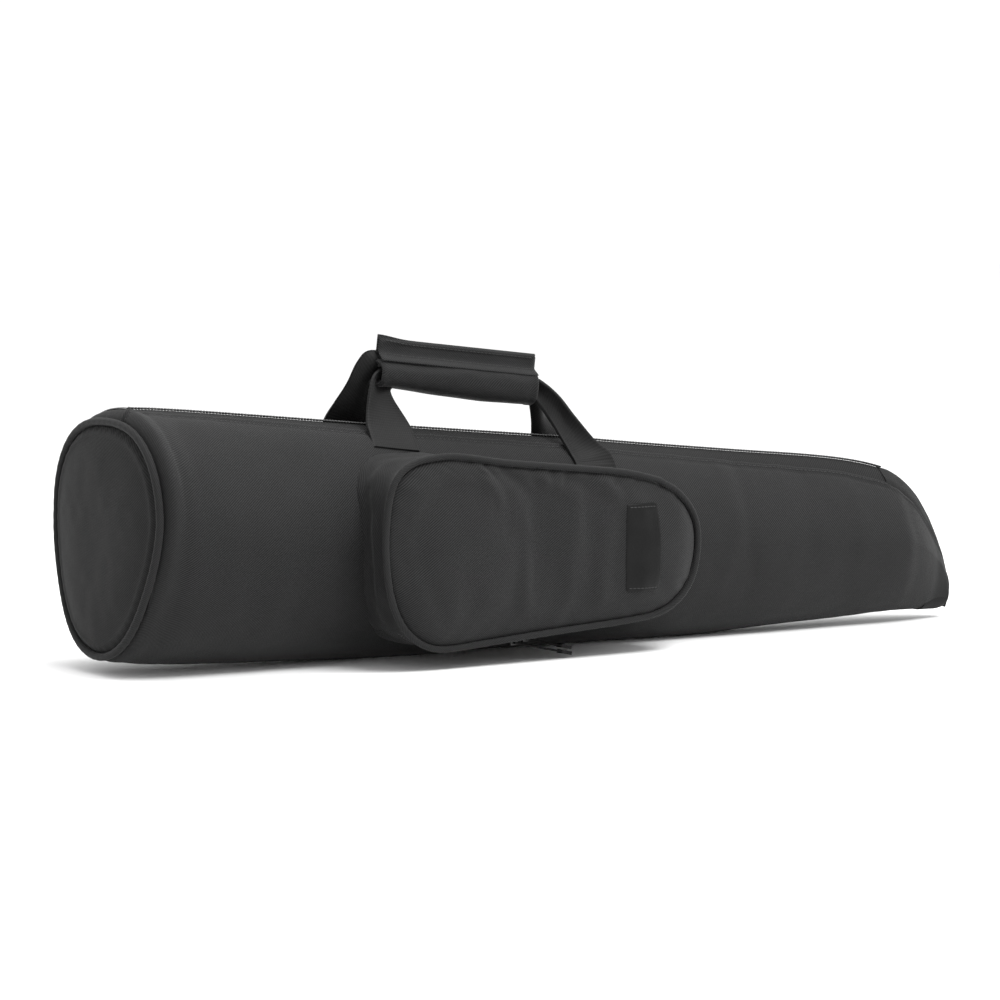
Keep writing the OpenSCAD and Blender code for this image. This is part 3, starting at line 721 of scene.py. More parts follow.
def patch(x0, x1, b0, b1, m_, lip0=False, lip1=False, nose=False, denser=None):
    """Outer grid, normals and UVs of part of the cover. b runs from the ridge down the front, under, and up the rear."""
    xs = stations(x0, x1)
    L, sa, ah = arcs(xs)
    lo, hi = b0(L, sa, ah), b1(L, sa, ah)
    v = np.linspace(0, 1, m_)
    ln = np.mean(hi - lo)
    if lip0:  # packs rows at the lips
        v = np.concatenate([[0, 0.5 / ln, 1.1 / ln, 2.0 / ln, 3.2 / ln, 4.6 / ln], np.linspace(7.5 / ln, 1, m_ - 6)]) if not lip1 else v
    if lip1:
        v = np.sort(1 - np.concatenate([[0, 0.5 / ln, 1.1 / ln, 2.0 / ln, 3.2 / ln, 4.6 / ln], np.linspace(7.5 / ln, 1, m_ - 6)]))
    B = lo[:, None] + (hi - lo)[:, None] * v[None]
    y, z, arc = sections(xs)
    P = np.zeros((len(xs), m_, 3))
    for i, x in enumerate(xs):
        a = np.where(B[i] <= L[i], B[i], 2 * L[i] - B[i])
        P[i, :, 0] = x
        P[i, :, 1] = np.interp(a, arc[i], y[i]) * np.where(B[i] <= L[i], -1, 1)
        P[i, :, 2] = np.interp(a, arc[i], z[i])
    P = end_shape(P)
    N = grid_normals(P)
    c = np.stack([P[..., 0], 0 * P[..., 0], np.broadcast_to(ZM(xs)[:, None], P.shape[:2])], -1)
    if np.sum(N * (P - c)) < 0:
        N = -N
    a = np.where(B <= L[:, None], B, 2 * L[:, None] - B)
    e = a - sa[:, None]
    d = disp(P[..., 0], P[..., 1], P[..., 2], e)
    d *= smooth((359 - np.abs(P[..., 0])) / 10 + 0.1) * 1.0
    if nose:
        kx = smooth((P[..., 0] - 292) / 8)
        d = d - kx * (1.9 * smooth((3.0 - e) / 3.2)) + kx * 0.7 * np.exp(-((e - 4.0) / 1.6) ** 2)
    if lip0 or lip1:
        kr = 1 - (smooth((P[..., 0] - 292) / 8) if nose else 0)
        ee = np.clip(e, 0, 50)
        d = d + kr * (0.75 * np.exp(-((ee - 2.0) / 1.7) ** 2) - 0.95 * np.exp(-(ee / 0.7) ** 2) - 0.5 * np.exp(-((ee - 6.4) / 1.3) ** 2))
    # the piping seam draws the cover in
    d = d - 1.1 * np.exp(-((P[..., 0] + lean(P[..., 2]) + 359) / 2.2) ** 2)
    P = P + N * d[..., None]
    N2 = grid_normals(P)
    if np.sum(N2 * N) < 0:
        N2 = -N2
    u = np.concatenate([[0], np.cumsum(np.hypot(np.diff(xs), np.diff(W(xs)) * 0.9))]) + x0
    Lk = arcs(np.array([-338.0]))[0][0]
    sc = np.where(xs < -338, Lk / L, 1.0)
    uv = np.stack([np.broadcast_to(u[:, None], B.shape), (B - L[:, None]) * sc[:, None]], -1) * 0.001
    return P, N2, uv, xs, B


HB = 24.0
XR0, XR1 = -331.0, 298.8
P, N, uv, xs, B = patch(-359, 358, lambda L, s, h: s, lambda L, s, h: 2 * L - h - HB, 150, lip0=True, nose=True)
cover = layer("cover_front", P, N, 0, 1.2, M_BODY, uv, "shell")
stand(cover, "cover_panel")
COVER_P, COVER_N, COVER_X, COVER_B = P, N, xs, B
keep = (xs < 336) & (xs > -356)
pad = layer("cover_padding", P[keep][:, ::2], N[keep][:, ::2], 1.25, 6.0, M_FOAM, uv[keep][:, ::2], "shell")
stand(pad, "body_foam")
lin = layer("lining_shell", P[keep][:, ::2], N[keep][:, ::2], 6.1, 6.9, M_LINING, uv[keep][:, ::2], "shell")
stand(lin, "body_lining")

# rear panel: from below the hinge line up to the ridge seam
AX = np.array([-.99642, .072639, .043245])
HN = unit(np.cross(np.cross(AX, [0, 0, 1.0]), AX))
if HN[2] < 0:
    HN = -HN
P, N, uv, xs, B = patch(XR0 + 0.3, XR1, lambda L, s, h: 2 * L - h - HB, lambda L, s, h: 2 * L - s, 84, lip1=True)
rear = layer("cover_rear", P, N, 0, 1.2, M_BODY, uv)
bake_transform(rear)
stand(rear, "flap_panel")
REAR_P, REAR_N, REAR_X, REAR_B = P, N, xs, B
pad = layer("rear_padding", P[:, ::2], N[:, ::2], 1.25, 6.0, M_FOAM, uv[:, ::2])
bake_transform(pad)
stand(pad, "flap_foam")
lin = layer("lining_rear", P[:, ::2], N[:, ::2], 6.1, 6.9, M_LINING, uv[:, ::2])
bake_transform(lin)
stand(lin, "flap_lining")

# rear of the nose, and the rear foot of the round end
P, N, uv, xs, B = patch(XR1 + 0.6, 358, lambda L, s, h: 2 * L - h - HB, lambda L, s, h: 2 * L - s, 60, lip1=True, nose=True)
o = layer("cover_nose_rear", P, N, 0, 1.2, M_BODY, uv, "shell")
NOSE_P = P
P, N, uv, xs, B = patch(-359, XR0, lambda L, s, h: 2 * L - h - HB, lambda L, s, h: 2 * L - h, 14)
o = layer("cover_end_rear", P, N, 0, 1.2, M_BODY, uv, "shell")

# ------------------------------------------------------------------ nose binding strip


def strip_line(Y):
    """From the ridge at x 296 over the nose and down to the underside, at constant y."""
    x = np.linspace(297, 358, 90)
    w = np.maximum(W(x), abs(Y) + 0.3)
    t = np.clip(1 - (abs(Y) / w) ** PU(x), 0.0, 1) ** (1 / PU(x))
    zt = ZM(x) + (ZT(x) - ZM(x)) * t
    t = np.clip(1 - (abs(Y) / w) ** PL(x), 0.0, 1) ** (1 / PL(x))
    zb = ZM(x) - (ZM(x) - ZB(x)) * t
    top = np.stack([x, x * 0 + Y, zt], 1)
    bot = np.stack([x, x * 0 + Y, zb], 1)[::-1][:34]
    mid = np.stack([np.full(12, 358.6), np.full(12, Y), np.linspace(zt[-1], zb[-1], 14)[1:-1]], 1)
    line = np.vstack([top, mid, bot])
    return even(line, 120)[0]


ys = np.array([-14.2, -13.6, -12.6, -11, -8, -5, -2.5, 0, 2.5, 5, 8, 11, 12.6, 13.6, 14.2])
G = np.stack([strip_line(y) for y in ys], 1)
for _ in range(3):
    G[1:-1] = 0.25 * G[:-2] + 0.5 * G[1:-1] + 0.25 * G[2:]
Ns = grid_normals(G)
if np.sum(Ns[:, 7] * np.array([1, 0, 1.0])) < 0:
    Ns = -Ns
lift = 0.35 - 1.3 * (np.abs(ys) / 14.2) ** 8 + 0.25 * np.exp(-((np.abs(ys) - 11) / 1.4) ** 2)
nn = 0.3 * noise(np.arange(120)[:, None] / 7.0, ys[None] / 7, 0, 21)
G = G + Ns * (lift[None] + nn)[..., None]
uvs = np.stack(np.broadcast_arrays(np.arange(120)[:, None] * 1.25, ys[None]), -1) * 0.001
o = layer("nose_binding", G, Ns, 0, 1.3, M_STRIP, uvs, "shell")
stand(o, "nose_strip")
STRIP_G, STRIP_N = G, Ns

# ear tab at the nose's end: a folded scrap of the cover fabric
z = np.linspace(7.2, 40, 26)
f = np.linspace(0, 1, 9)
prof = 9.6 * np.sin(np.clip((z - 4) / 40, 0, 1) * np.pi * 0.9 + 0.32) ** 0.5
X = 357.2 + f[None] * prof[:, None]
Yv = 0.9 * np.sin(z / 5.5)[:, None] * f[None] - 1.2 * f[None] ** 2 - 0.3
G = np.stack([X, Yv, np.broadcast_to(z[:, None], X.shape) + 0.8 * np.sin(f * 3)[None]], -1)
Ng = grid_normals(G)
uvg = np.stack(np.broadcast_arrays(f[None] * 10, z[:, None]), -1) * 0.001
o = layer("ear_loop", G + Ng * 0.9, Ng, 0, 1.8, M_STRIP, uvg, "shell")
stand(o, "ear_tab")

# ------------------------------------------------------------------ round end
NA = 220
th = np.arange(NA) * 2 * np.pi / NA


def end_ring(off, dx):
    r = egg(th) + off
    y, z = r * np.cos(th), 94 + r * np.sin(th)
    return np.stack([-359 - dx - lean(z), y, z], 1)


rings = np.concatenate([np.linspace(0.02, 0.86, 26), np.linspace(0.885, 0.965, 6), [0.975, 0.983, 0.989, 0.994, 0.998, 1.0]])
G = []
for k in rings:
    r = (egg(th) - 3.6) * k
    y, z = r * np.cos(th), 94 + r * np.sin(th)
    bulge = 9.0 * (1 - k ** 3.4) ** 0.9 + 1.2 * np.exp(-((k - 0.93) / 0.035) ** 2)
    bulge = bulge + (0.55 * noise(y / 30, z / 30, 0, 31) + 0.25 * noise(y / 11, z / 11, 0, 32)) * (1 - k ** 6)
    bulge = bulge - 2.4 * math.exp(-(1 - k) * 80 / 1.5)
    bulge = bulge + 0.35 * np.exp(-((k - 0.965) / 0.03) ** 2) * np.sin(th * 52 + 2 * noise(th * 6, 0, 0, 33))
    G.append(np.stack([-360.2 - bulge - lean(z), y, z], 1))
G = np.array(G)
Nd = grid_normals(np.concatenate([G, G[:, :1]], 1))[:, :-1]
if np.mean(Nd[..., 0]) > 0:
    Nd = -Nd
Nd[:, 0] = Nd[:, -1] = unit(Nd[:, 1] + Nd[:, -2])


def disc(name, G, Nd, d0, d1, mat, body, close=True):
    """A closed round pad: polar grid, its back, rim wall and both centres."""
    n, k = G.shape[:2]
    A, Bk = (G - Nd * d0).reshape(-1, 3), (G - Nd * d1).reshape(-1, 3)
    V = np.concatenate([A, Bk, A[:k].mean(0)[None], Bk[:k].mean(0)[None]])
    Fc = []
    off = n * k
    for i in range(n - 1):
        for j in range(k):
            l = (j + 1) % k
            a, b, c, d = i * k + j, (i + 1) * k + j, (i + 1) * k + l, i * k + l
            Fc.append([a, b, c, d])
            Fc.append([d + off, c + off, b + off, a + off])
    for j in range(k):
        l = (j + 1) % k
        Fc.append([2 * off, j, l])
        Fc.append([2 * off + 1, l + off, j + off])
        e = (n - 1) * k
        Fc.append([e + j, e + j + off, e + l + off, e + l])
    uv = V[:, 1:3] * 0.001
    o = make(name, V, Fc, mat, uv, None)
    import bmesh
    bm = bmesh.new()
    bm.from_mesh(o.data)
    bmesh.ops.recalc_face_normals(bm, faces=bm.faces)
    bm.to_mesh(o.data)
    bm.free()
    o.data.set_sharp_from_angle(angle=rad(60))
    if body:
        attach(o, body)
    return o


o = disc("end_disc", G, Nd, 0, 1.2, M_DISC_SHADED, "shell")
stand(o, "end_cover")
o = disc("end_padding", G[::2], Nd[::2], 1.3, 5.6, M_FOAM, "shell")
stand(o, "end_foam")
Gl = G[::2].copy()
Gl[..., 0] = -352.0 + 0.4 * noise(Gl[..., 1] / 20, Gl[..., 2] / 20, 0, 35)
c94 = np.array([0, 0, 94.0])
Gl[..., 1:] = 94 * np.array([0, 1]) + (Gl[..., 1:] - np.array([0, 94.0])) * 0.93
o = disc("end_lining_sheet", Gl, np.broadcast_to(np.array([-1.0, 0, 0]), Gl.shape), 0, 0.8, M_LINING, "shell")
stand(o, "end_lining")
pipe = end_ring(-1.9, 1.7)
o = tube("end_piping_cord", pipe, 2.7 + 0.08 * np.sin(th * 61), M_PIPE, "shell", 14, True, (1, 0, 0))
stand(o, "end_piping")

# ------------------------------------------------------------------ main zip


def bodyline(a_of, xs, side, lift):
    """Points a given arc from the ridge, with outward normals, on one side (-1 front, +1 rear)."""
    y, z, arc = sections(xs)
    a = a_of(xs)
    Y = np.array([np.interp(a[i], arc[i], y[i]) for i in range(len(xs))]) * side
    Z = np.array([np.interp(a[i], arc[i], z[i]) for i in range(len(xs))])
    Pn = end_shape(np.stack([xs, Y, Z], 1)[None])[0]
    slope = np.gradient(ZT(xs), xs)
    ny = side * np.clip(a / 40, 0, 0.5)
    Nn = unit(np.stack([-slope, ny, np.ones(len(xs))], 1))
    return Pn + Nn * lift, Nn


def ridge_tape(name, side, x0, x1, body, node):
    xs = np.arange(x0, x1, 3.0)
    L, sa, ah = arcs(xs)
    f = np.array([0, .08, .3, .6, .85, 1.0])
    G = []
    for q in f:
        a = 0.5 + (sa + 3.5 - 0.5) * q
        Pq, Nq = bodyline(lambda x: a, xs, side, -1.2 + 1.05 * (1 - q) ** 1.6)
        G.append(Pq)
    G = np.stack(G, 1)
    Ng = grid_normals(G)
    if np.mean(Ng[..., 2]) < 0:
        Ng = -Ng
    uv = np.stack(np.broadcast_arrays(xs[:, None], f[None] * 14), -1) * 0.001
    o = layer(name, G, Ng, 0, 0.7, M_STRIP, uv, body)
    stand(o, node)
    return o


ridge_tape("ridge_tape_front", -1, -345.2, 300, "shell", "zip_tape_front")
ridge_tape("ridge_tape_rear", 1, -342, 298.5, "rear_flap", "zip_tape_rear")


def rim_points(x, t0, t1, n):
    """Points round the rear quarter of the round end at station x, angle from the top."""
    t = np.linspace(t0, t1, n)
    y, z, arc = sections(np.array([x, x]))
    Lh = arc[0, 240]
    a = t * Lh
    Pn = np.stack([np.full(n, x), np.interp(a, arc[0], y[0]), np.interp(a, arc[0], z[0])], 1)
    Pn = end_shape(Pn[None])[0]
    Nn = unit(np.stack([np.zeros(n), Pn[:, 1], (Pn[:, 2] - 92)], 1))
    return Pn, Nn, Lh


def rim_tape(name, x0, x1, body, lift=-0.55, th_=0.8):
    f = np.linspace(0, 1, 6)
    G = np.stack([rim_points(x0 + (x1 - x0) * q, 0.0, 1.0, 60)[0] for q in f], 1)
    Ng = grid_normals(G)
    if np.mean(Ng[..., 2]) < 0:
        Ng = -Ng
    G = G + Ng * lift
    uv = np.stack(np.broadcast_arrays(np.arange(60)[:, None] * 2.3, f[None] * 11), -1) * 0.001
    o = layer(name, G, Ng, 0, th_, M_TAPE, uv, body)
    return o


xs = np.arange(-360.4, -344.4, 1.6)
L, sa, ah = arcs(np.maximum(xs, -359))
f = np.linspace(-1, 1, 13)
G = []
for q in f:
    a = np.abs(q) * (sa + 3) if q < 0 else q * 13.0
    Pq, _ = bodyline(lambda x: a + 0 * x, np.maximum(xs, -359), -1 if q < 0 else 1, -0.25 - 0.5 * abs(q) ** 4)
    Pq[:, 0] = Pq[:, 0] + (xs - np.maximum(xs, -359))
    G.append(Pq)
G = np.stack(G, 1)
Ng = grid_normals(G)
if np.mean(Ng[..., 2]) < 0:
    Ng = -Ng
G = G + Ng * (0.5 * np.exp(-((xs + 346.5) / 1.2) ** 2))[:, None, None]
uvg = np.stack(np.broadcast_arrays(xs[:, None], f[None] * 14), -1) * 0.001
o = layer("zip_corner_tab", G, Ng, 0, 0.9, M_STRIP, uvg, "shell")
rim_tape("rim_tape_end", -359, -348, "shell")
rim_tape("rim_tape_flap", -342, -331, "rear_flap")

TOOTH = bead([(-0.35, 0), (-0.2, .55), (.25, .86), (.8, .74), (1.8, .62), (2.9, .6), (3.25, .4), (3.4, 0)], 8, 1.05)
xs = np.arange(-344, 299, 2.5)
zero = lambda x: np.zeros(len(x))
Pc, Nc = bodyline(zero, xs, 1, 0.75)
Tc = unit(np.gradient(Pc, axis=0))
Sc = unit(np.cross(Nc, Tc))
if np.mean(Sc[:, 1]) > 0:
    Sc = -Sc
o1 = instances("ridge_teeth_front", *TOOTH, Pc, Sc, Tc, Nc, M_COIL)
Pb = Pc + Tc * 1.25
o2 = instances("ridge_teeth_rear", *TOOTH, Pb, -Sc, Tc, Nc, M_COIL)
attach(o1, "shell")
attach(o2, "rear_flap")
stand(o1, "zip_coil_front")
stand(o2, "zip_coil_rear")
Pr, Nr, Lh = rim_points(-345, 0.0, 1.0, int(140 / 2.5))
Pr = Pr + Nr * 0.9
Tr = unit(np.gradient(Pr, axis=0))
Xd = np.broadcast_to(np.array([-1.0, 0, 0]), Pr.shape)
o3 = instances("rim_teeth_end", *TOOTH, Pr - Nr * 0.75, Xd, Tr, Nr, M_COIL, "shell")
o4 = instances("rim_teeth_flap", *TOOTH, Pr - Nr * 0.75 + Tr * 1.25, -Xd, Tr, Nr, M_COIL, "rear_flap")

# topstitching beside the turned seams
k = np.argmin(np.abs(COVER_B[100] - COVER_B[100][0] - 4.6))
sel = COVER_X < 300
o = stitches("seam_stitch_front", COVER_P[sel][:, 5], COVER_N[sel][:, 5], M_THREAD, "shell")
o = stitches("seam_stitch_rear", REAR_P[:, -6], REAR_N[:, -6], M_THREAD, "rear_flap")

# ------------------------------------------------------------------ pocket
CA, SA = math.cos(rad(3.43)), math.sin(rad(3.43))


def PF(lx, ly, lz):
    lx, ly, lz = np.broadcast_arrays(np.asarray(lx, float), np.asarray(ly, float), np.asarray(lz, float))
    return np.stack([-203 + (lx + 203) * CA - ly * SA, -110 + (lx + 203) * SA + ly * CA, lz], -1)


OUT = [(-156, 149), (-142, 149), (-124, 146.6), (-100, 143), (-70, 140), (-40, 137), (3, 132.3), (31, 126), (36, 124), (51, 116), (64, 101.5),
       (69, 86), (68, 68), (63, 52), (51, 38), (32, 29), (4, 25.5), (-40, 22.7), (-80, 20), (-120, 17), (-150, 15), (-166, 17.5), (-179, 25),
       (-190, 38), (-197, 57), (-200, 80), (-200, 100), (-197, 122), (-190, 137), (-176, 146)]
O = catmull(OUT, 10, True)
for _ in range(6):
    O = 0.25 * np.roll(O, 1, 0) + 0.5 * O + 0.25 * np.roll(O, -1, 0)
Tn = unit(np.roll(O, -1, 0) - np.roll(O, 1, 0))
On = np.stack([-Tn[:, 1], Tn[:, 0]], 1)
if np.sum(On * (O - O.mean(0))) < 0:
    On = -On
Os = np.concatenate([[0], np.cumsum(np.linalg.norm(np.diff(O, axis=0), axis=1))])
NO = len(O)
YV = np.array([-SA, CA, 0.0])  # pocket depth direction


def band(name, k0, k1, ly0, ly1, off0, off1, thick, mat, body, bow=0.0, wob=0.0, nv=8, pleat=0.0, seed=0):
    ks = np.arange(k0, k1 + 1) % NO
    s = np.arange(k0, k1 + 1)
    arc = np.concatenate([[0], np.cumsum(np.linalg.norm(np.diff(O[ks], axis=0), axis=1))])
    v = np.linspace(0, 1, nv)
    l0 = np.broadcast_to(np.asarray(ly0, float), ks.shape)[:, None]
    l1 = np.broadcast_to(np.asarray(ly1, float), ks.shape)[:, None]
    ly = l0 + (l1 - l0) * v[None]
    off = off0 + (off1 - off0) * v[None] + bow * np.sin(np.pi * v)[None] * (smooth(arc / 20) * smooth((arc[-1] - arc) / 20))[:, None] + wob * noise(arc[:, None] / 14, ly / 9, 0, 40 + seed)
    if pleat:
        off = off - pleat * np.abs(np.sin(np.pi * v[None] * 2)) ** 1.5 * (smooth((arc - 12) / 26) * smooth((arc[-1] - 12 - arc) / 26))[:, None]
        off = off + 0.5 * (1 - smooth(arc / 14))[:, None]
    xz = O[ks][:, None] + On[ks][:, None] * off[..., None]
    P = PF(xz[..., 0], ly, xz[..., 1])
    N = grid_normals(P)
    ref = PF(O[ks][:, 0] + On[ks][:, 0], 0, O[ks][:, 1] + On[ks][:, 1]) - PF(O[ks][:, 0], 0, O[ks][:, 1])
    if np.sum(N * ref[:, None]) < 0:
        N = -N
    uv = np.stack([np.broadcast_to(arc[:, None], ly.shape), ly], -1) * 0.001
    return layer(name, P, N, 0, thick, mat, uv, body), P, N


def body_depth(off):
    """How deep the gusset goes, at each outline point, to reach the bag."""
    xz = O + On * off
    lo, hi = np.full(NO, 20.0), np.full(NO, 112.0)
    for _ in range(30):
        mid = (lo + hi) / 2
        ins = inside(PF(xz[:, 0], mid, xz[:, 1]))
        hi = np.where(ins, mid, hi)
        lo = np.where(ins, lo, mid)
    d = np.minimum(hi, 100)
    for _ in range(3):
        d = 0.25 * np.roll(d, 1) + 0.5 * d + 0.25 * np.roll(d, -1)
    return d


DEP = body_depth(-1.0)
ZI0, ZI1, ZL1 = 80, 220, 300  # zipped stretch from 80 to 220, pleated to 300, hinge side from 0 to 80

# face pad: polar grid over the outline
ctr = np.array([-72.0, 83.0])
rings = np.concatenate([np.linspace(0.015, 0.80, 30), np.linspace(0.82, 0.95, 9), [0.962, 0.972, 0.98, 0.987, 0.993, 0.997, 1.0]])


def face_height(lx, lz, k, j):
    """Puff of the padded front, in mm towards the viewer, at ring fraction k and outline index j."""
    s = Os[j]
    size = np.linalg.norm(O[j] - ctr, axis=-1)
    dist = (1 - k) * size * 0.82
    h = 7.2 * (1 - np.exp(-dist / 13.0)) + 1.0 * (1 - k ** 2)
    # puckers along the piping, stronger under the top edge
    top = np.exp(-((lx + 70) / 75.0) ** 2) * smooth((lz - 85) / 40) + 0.25
    wv = np.sin(s / 3.1 + 3.0 * noise(s / 23, 0, 0, 51)) * (0.55 + 0.45 * noise(s / 31, 3, 0, 52))
    h = h + 1.35 * top * wv * np.exp(-((dist - 5.0) / 7.0) ** 2)
    # long soft drapes falling from the top edge
    for x0, z0, dx, dz, wd, am in ((-128, 146, 22, -34, 5.5, 1.4), (-104, 142, 26, -26, 5.0, -1.2), (-84, 141, 34, -22, 5.5, 1.3), (-52, 139, 30, -24, 5.5, -1.2),
                                   (-24, 136, 26, -30, 6, 1.2), (-6, 132, 16, -34, 6, -0.9), (20, 50, -26, 12, 7, 0.8), (-178, 60, 30, 16, 8, 0.8),
                                   (-150, 22, 20, 26, 8, -0.7), (-60, 24, 10, 24, 8, 0.6), (40, 44, -20, 10, 6, -0.7)):
        L2 = dx * dx + dz * dz
        t = ((lx - x0) * dx + (lz - z0) * dz) / L2
        e = ((lx - x0) * -dz + (lz - z0) * dx) / math.sqrt(L2)
        h = h + 1.75 * am * np.exp(-(e / wd) ** 2) * np.exp(-((t - 0.35) / 0.55) ** 2) * smooth(dist / 8)
    h = h + (0.7 * noise(lx / 38, lz / 30, 0, 53) + 0.3 * noise(lx / 15, lz / 13, 0, 54)) * smooth(dist / 12)
    return h


def billow(lxz, frames=22):
    """Blender's Cloth, pinned at the piping and blown out, gives the fall of the padded front. Returns heights in mm at lxz, or None."""
    from mathutils.geometry import delaunay_2d_cdt
    edge = [Vector(p) for p in (O + On * -1.6)[::2]]
    ne = len(edge)
    inner = []
    px, pz = np.arange(-204, 76, 4.6), np.arange(12, 152, 4.0)
    for i, a in enumerate(px):
        for b in pz:
            q = np.array([a, b + (2.0 if i % 2 else 0.0)])
            d = O + On * -1.6 - q
            j = int(np.argmin(np.hypot(d[:, 0], d[:, 1])))
            if np.dot(d[j], On[j]) > 3.0:
                inner.append(Vector(q))
    vs, _, fs, _, _, _ = delaunay_2d_cdt(edge + inner, [(i, (i + 1) % ne) for i in range(ne)], [], 1, 1e-5)
    vs = np.array([tuple(v) for v in vs])
    me = bpy.data.meshes.new("billow")
    me.from_pydata([(a * 0.001, 0.0, b * 0.001) for a, b in vs], [], [list(f) for f in fs])
    me.update()
    if me.polygons[0].normal.y > 0:
        me.flip_normals()
    o = bpy.data.objects.new("billow", me)
    bpy.context.collection.objects.link(o)
    g = o.vertex_groups.new(name="pin")
    g.add(list(range(ne)), 1.0, "REPLACE")
    md = o.modifiers.new("cloth", "CLOTH")
    c = md.settings
    c.quality, c.mass, c.time_scale = 6, 0.25, 1.0
    c.tension_stiffness = c.compression_stiffness = 20
    c.shear_stiffness, c.bending_stiffness = 8, 0.35
    c.tension_damping = c.compression_damping = 12
    c.shear_damping, c.bending_damping = 8, 1.5
    c.vertex_group_mass = "pin"
    c.use_pressure, c.uniform_pressure_force = True, 1.2
    c.shrink_min = c.shrink_max = -0.008
    c.effector_weights.gravity = 0
    md.point_cache.frame_start, md.point_cache.frame_end = 1, frames
    sc = bpy.context.scene
    for f in range(1, frames + 1):
        sc.frame_set(f)
    ev = o.evaluated_get(bpy.context.evaluated_depsgraph_get())
    co = np.array([tuple(v.co) for v in ev.data.vertices]) * 1000
    bpy.data.objects.remove(o)
    sc.frame_set(1)
    if not np.isfinite(co).all():
        return None
    h = np.clip(-co[:, 1], 0, 13.0)
    out = np.zeros(len(lxz))
    for k0 in range(0, len(lxz), 2000):
        q = lxz[k0:k0 + 2000]
        d2 = ((q[:, None] - co[None, :, [0, 2]]) ** 2).sum(-1)
        wgt = np.exp(-d2 / (2 * 3.2 ** 2))
        out[k0:k0 + 2000] = (wgt * h[None]).sum(1) / np.maximum(wgt.sum(1), 1e-9)
    print("billow", len(vs), "mean", round(float(h.mean()), 2), "max", round(float(h.max()), 2))
    return out


J = np.arange(NO)
K, JJ = np.meshgrid(rings, J, indexing="ij")
XZ = ctr + (O[JJ] + On[JJ] * -1.6 - ctr) * K[..., None]
H = face_height(XZ[..., 0], XZ[..., 1], K, JJ)
sim = billow(XZ.reshape(-1, 2))
if sim is not None:
    rise_in = (1 - np.exp(-(1 - K) * np.linalg.norm(O[JJ] - ctr, axis=-1) / 9.0))
    sim = sim.reshape(K.shape) * rise_in
    sim = sim * (7.0 / max(float(np.percentile(sim, 80)), 1e-3))
    H = 0.4 * sim + 0.6 * H + 0.25 * (H - (7.2 * (1 - np.exp(-(1 - K) * np.linalg.norm(O[JJ] - ctr, axis=-1) * 0.82 / 13.0)) + 1.0 * (1 - K ** 2)))
PLUNGE = 2.3 * (1 - np.exp(-(1 - K) * np.linalg.norm(O[JJ] - ctr, axis=-1) * 0.82 / 1.7))
G = PF(XZ[..., 0], 5.0 - H * 1.1 - PLUNGE, XZ[..., 1])
Nf = grid_normals(np.concatenate([G, G[:, :1]], 1))[:, :-1]
if np.mean(Nf[..., 1]) > 0:
    Nf = -Nf
Nf[:, 0] = Nf[:, -1] = unit(Nf[:, 1] + Nf[:, -2])


def polar(name, Ga, Gb, mat, body, uvxz, sharp=60):
    n, k = Ga.shape[:2]
    V = np.concatenate([Ga.reshape(-1, 3), Gb.reshape(-1, 3), Ga[0].mean(0)[None], Gb[0].mean(0)[None]])
    uv = np.concatenate([uvxz.reshape(-1, 2)] * 2 + [uvxz[0].mean(0)[None]] * 2) * 0.001
    off = n * k
    Fc = []
    for i in range(n - 1):
        for j in range(k):
            l = (j + 1) % k
            a, b, c, d = i * k + j, (i + 1) * k + j, (i + 1) * k + l, i * k + l
            Fc.append([a, b, c, d])
            Fc.append([d + off, c + off, b + off, a + off])
    for j in range(k):
        l = (j + 1) % k
        Fc.append([2 * off, j, l])
        Fc.append([2 * off + 1, l + off, j + off])
        e = (n - 1) * k
        Fc.append([e + j, e + j + off, e + l + off, e + l])
    o = make(name, V, Fc, mat, uv, None)
    import bmesh
    bm = bmesh.new()
    bm.from_mesh(o.data)
    bmesh.ops.recalc_face_normals(bm, faces=bm.faces)
    bm.to_mesh(o.data)
    bm.free()
    o.data.set_sharp_from_angle(angle=rad(sharp))
    if body:
        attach(o, body)
    return o


Gb = PF(XZ[..., 0], 2.6 - 0.35 * H, XZ[..., 1])
face = polar("pocket_front_panel", G, G - Nf * 1.1, M_POCKET, "pocket_lid", XZ)
stand(face, "pocket_face")
o = polar("pocket_padding", (G - Nf * 1.2)[::2], PF(XZ[..., 0], 6.3, XZ[..., 1])[::2], M_FOAM, "pocket_lid", XZ[::2])
stand(o, "pocket_foam")
o = polar("pocket_lining_sheet", PF(XZ[..., 0], 6.4, XZ[..., 1])[::2], PF(XZ[..., 0], 7.1 + 0.2 * noise(XZ[..., 0] / 20, XZ[..., 1] / 20, 0, 57), XZ[..., 1])[::2], M_LINING, "pocket_lid", XZ[::2])
stand(o, "pocket_lining")

pp = PF(O[:, 0] + On[:, 0] * 0.2, 2.3, O[:, 1] + On[:, 1] * 0.2)
o = tube("pocket_piping_cord", pp, 2.35 + 0.09 * np.sin(np.arange(NO) * 1.9), M_PIPE, "pocket_lid", 14, True, tuple(YV))
stand(o, "pocket_piping")

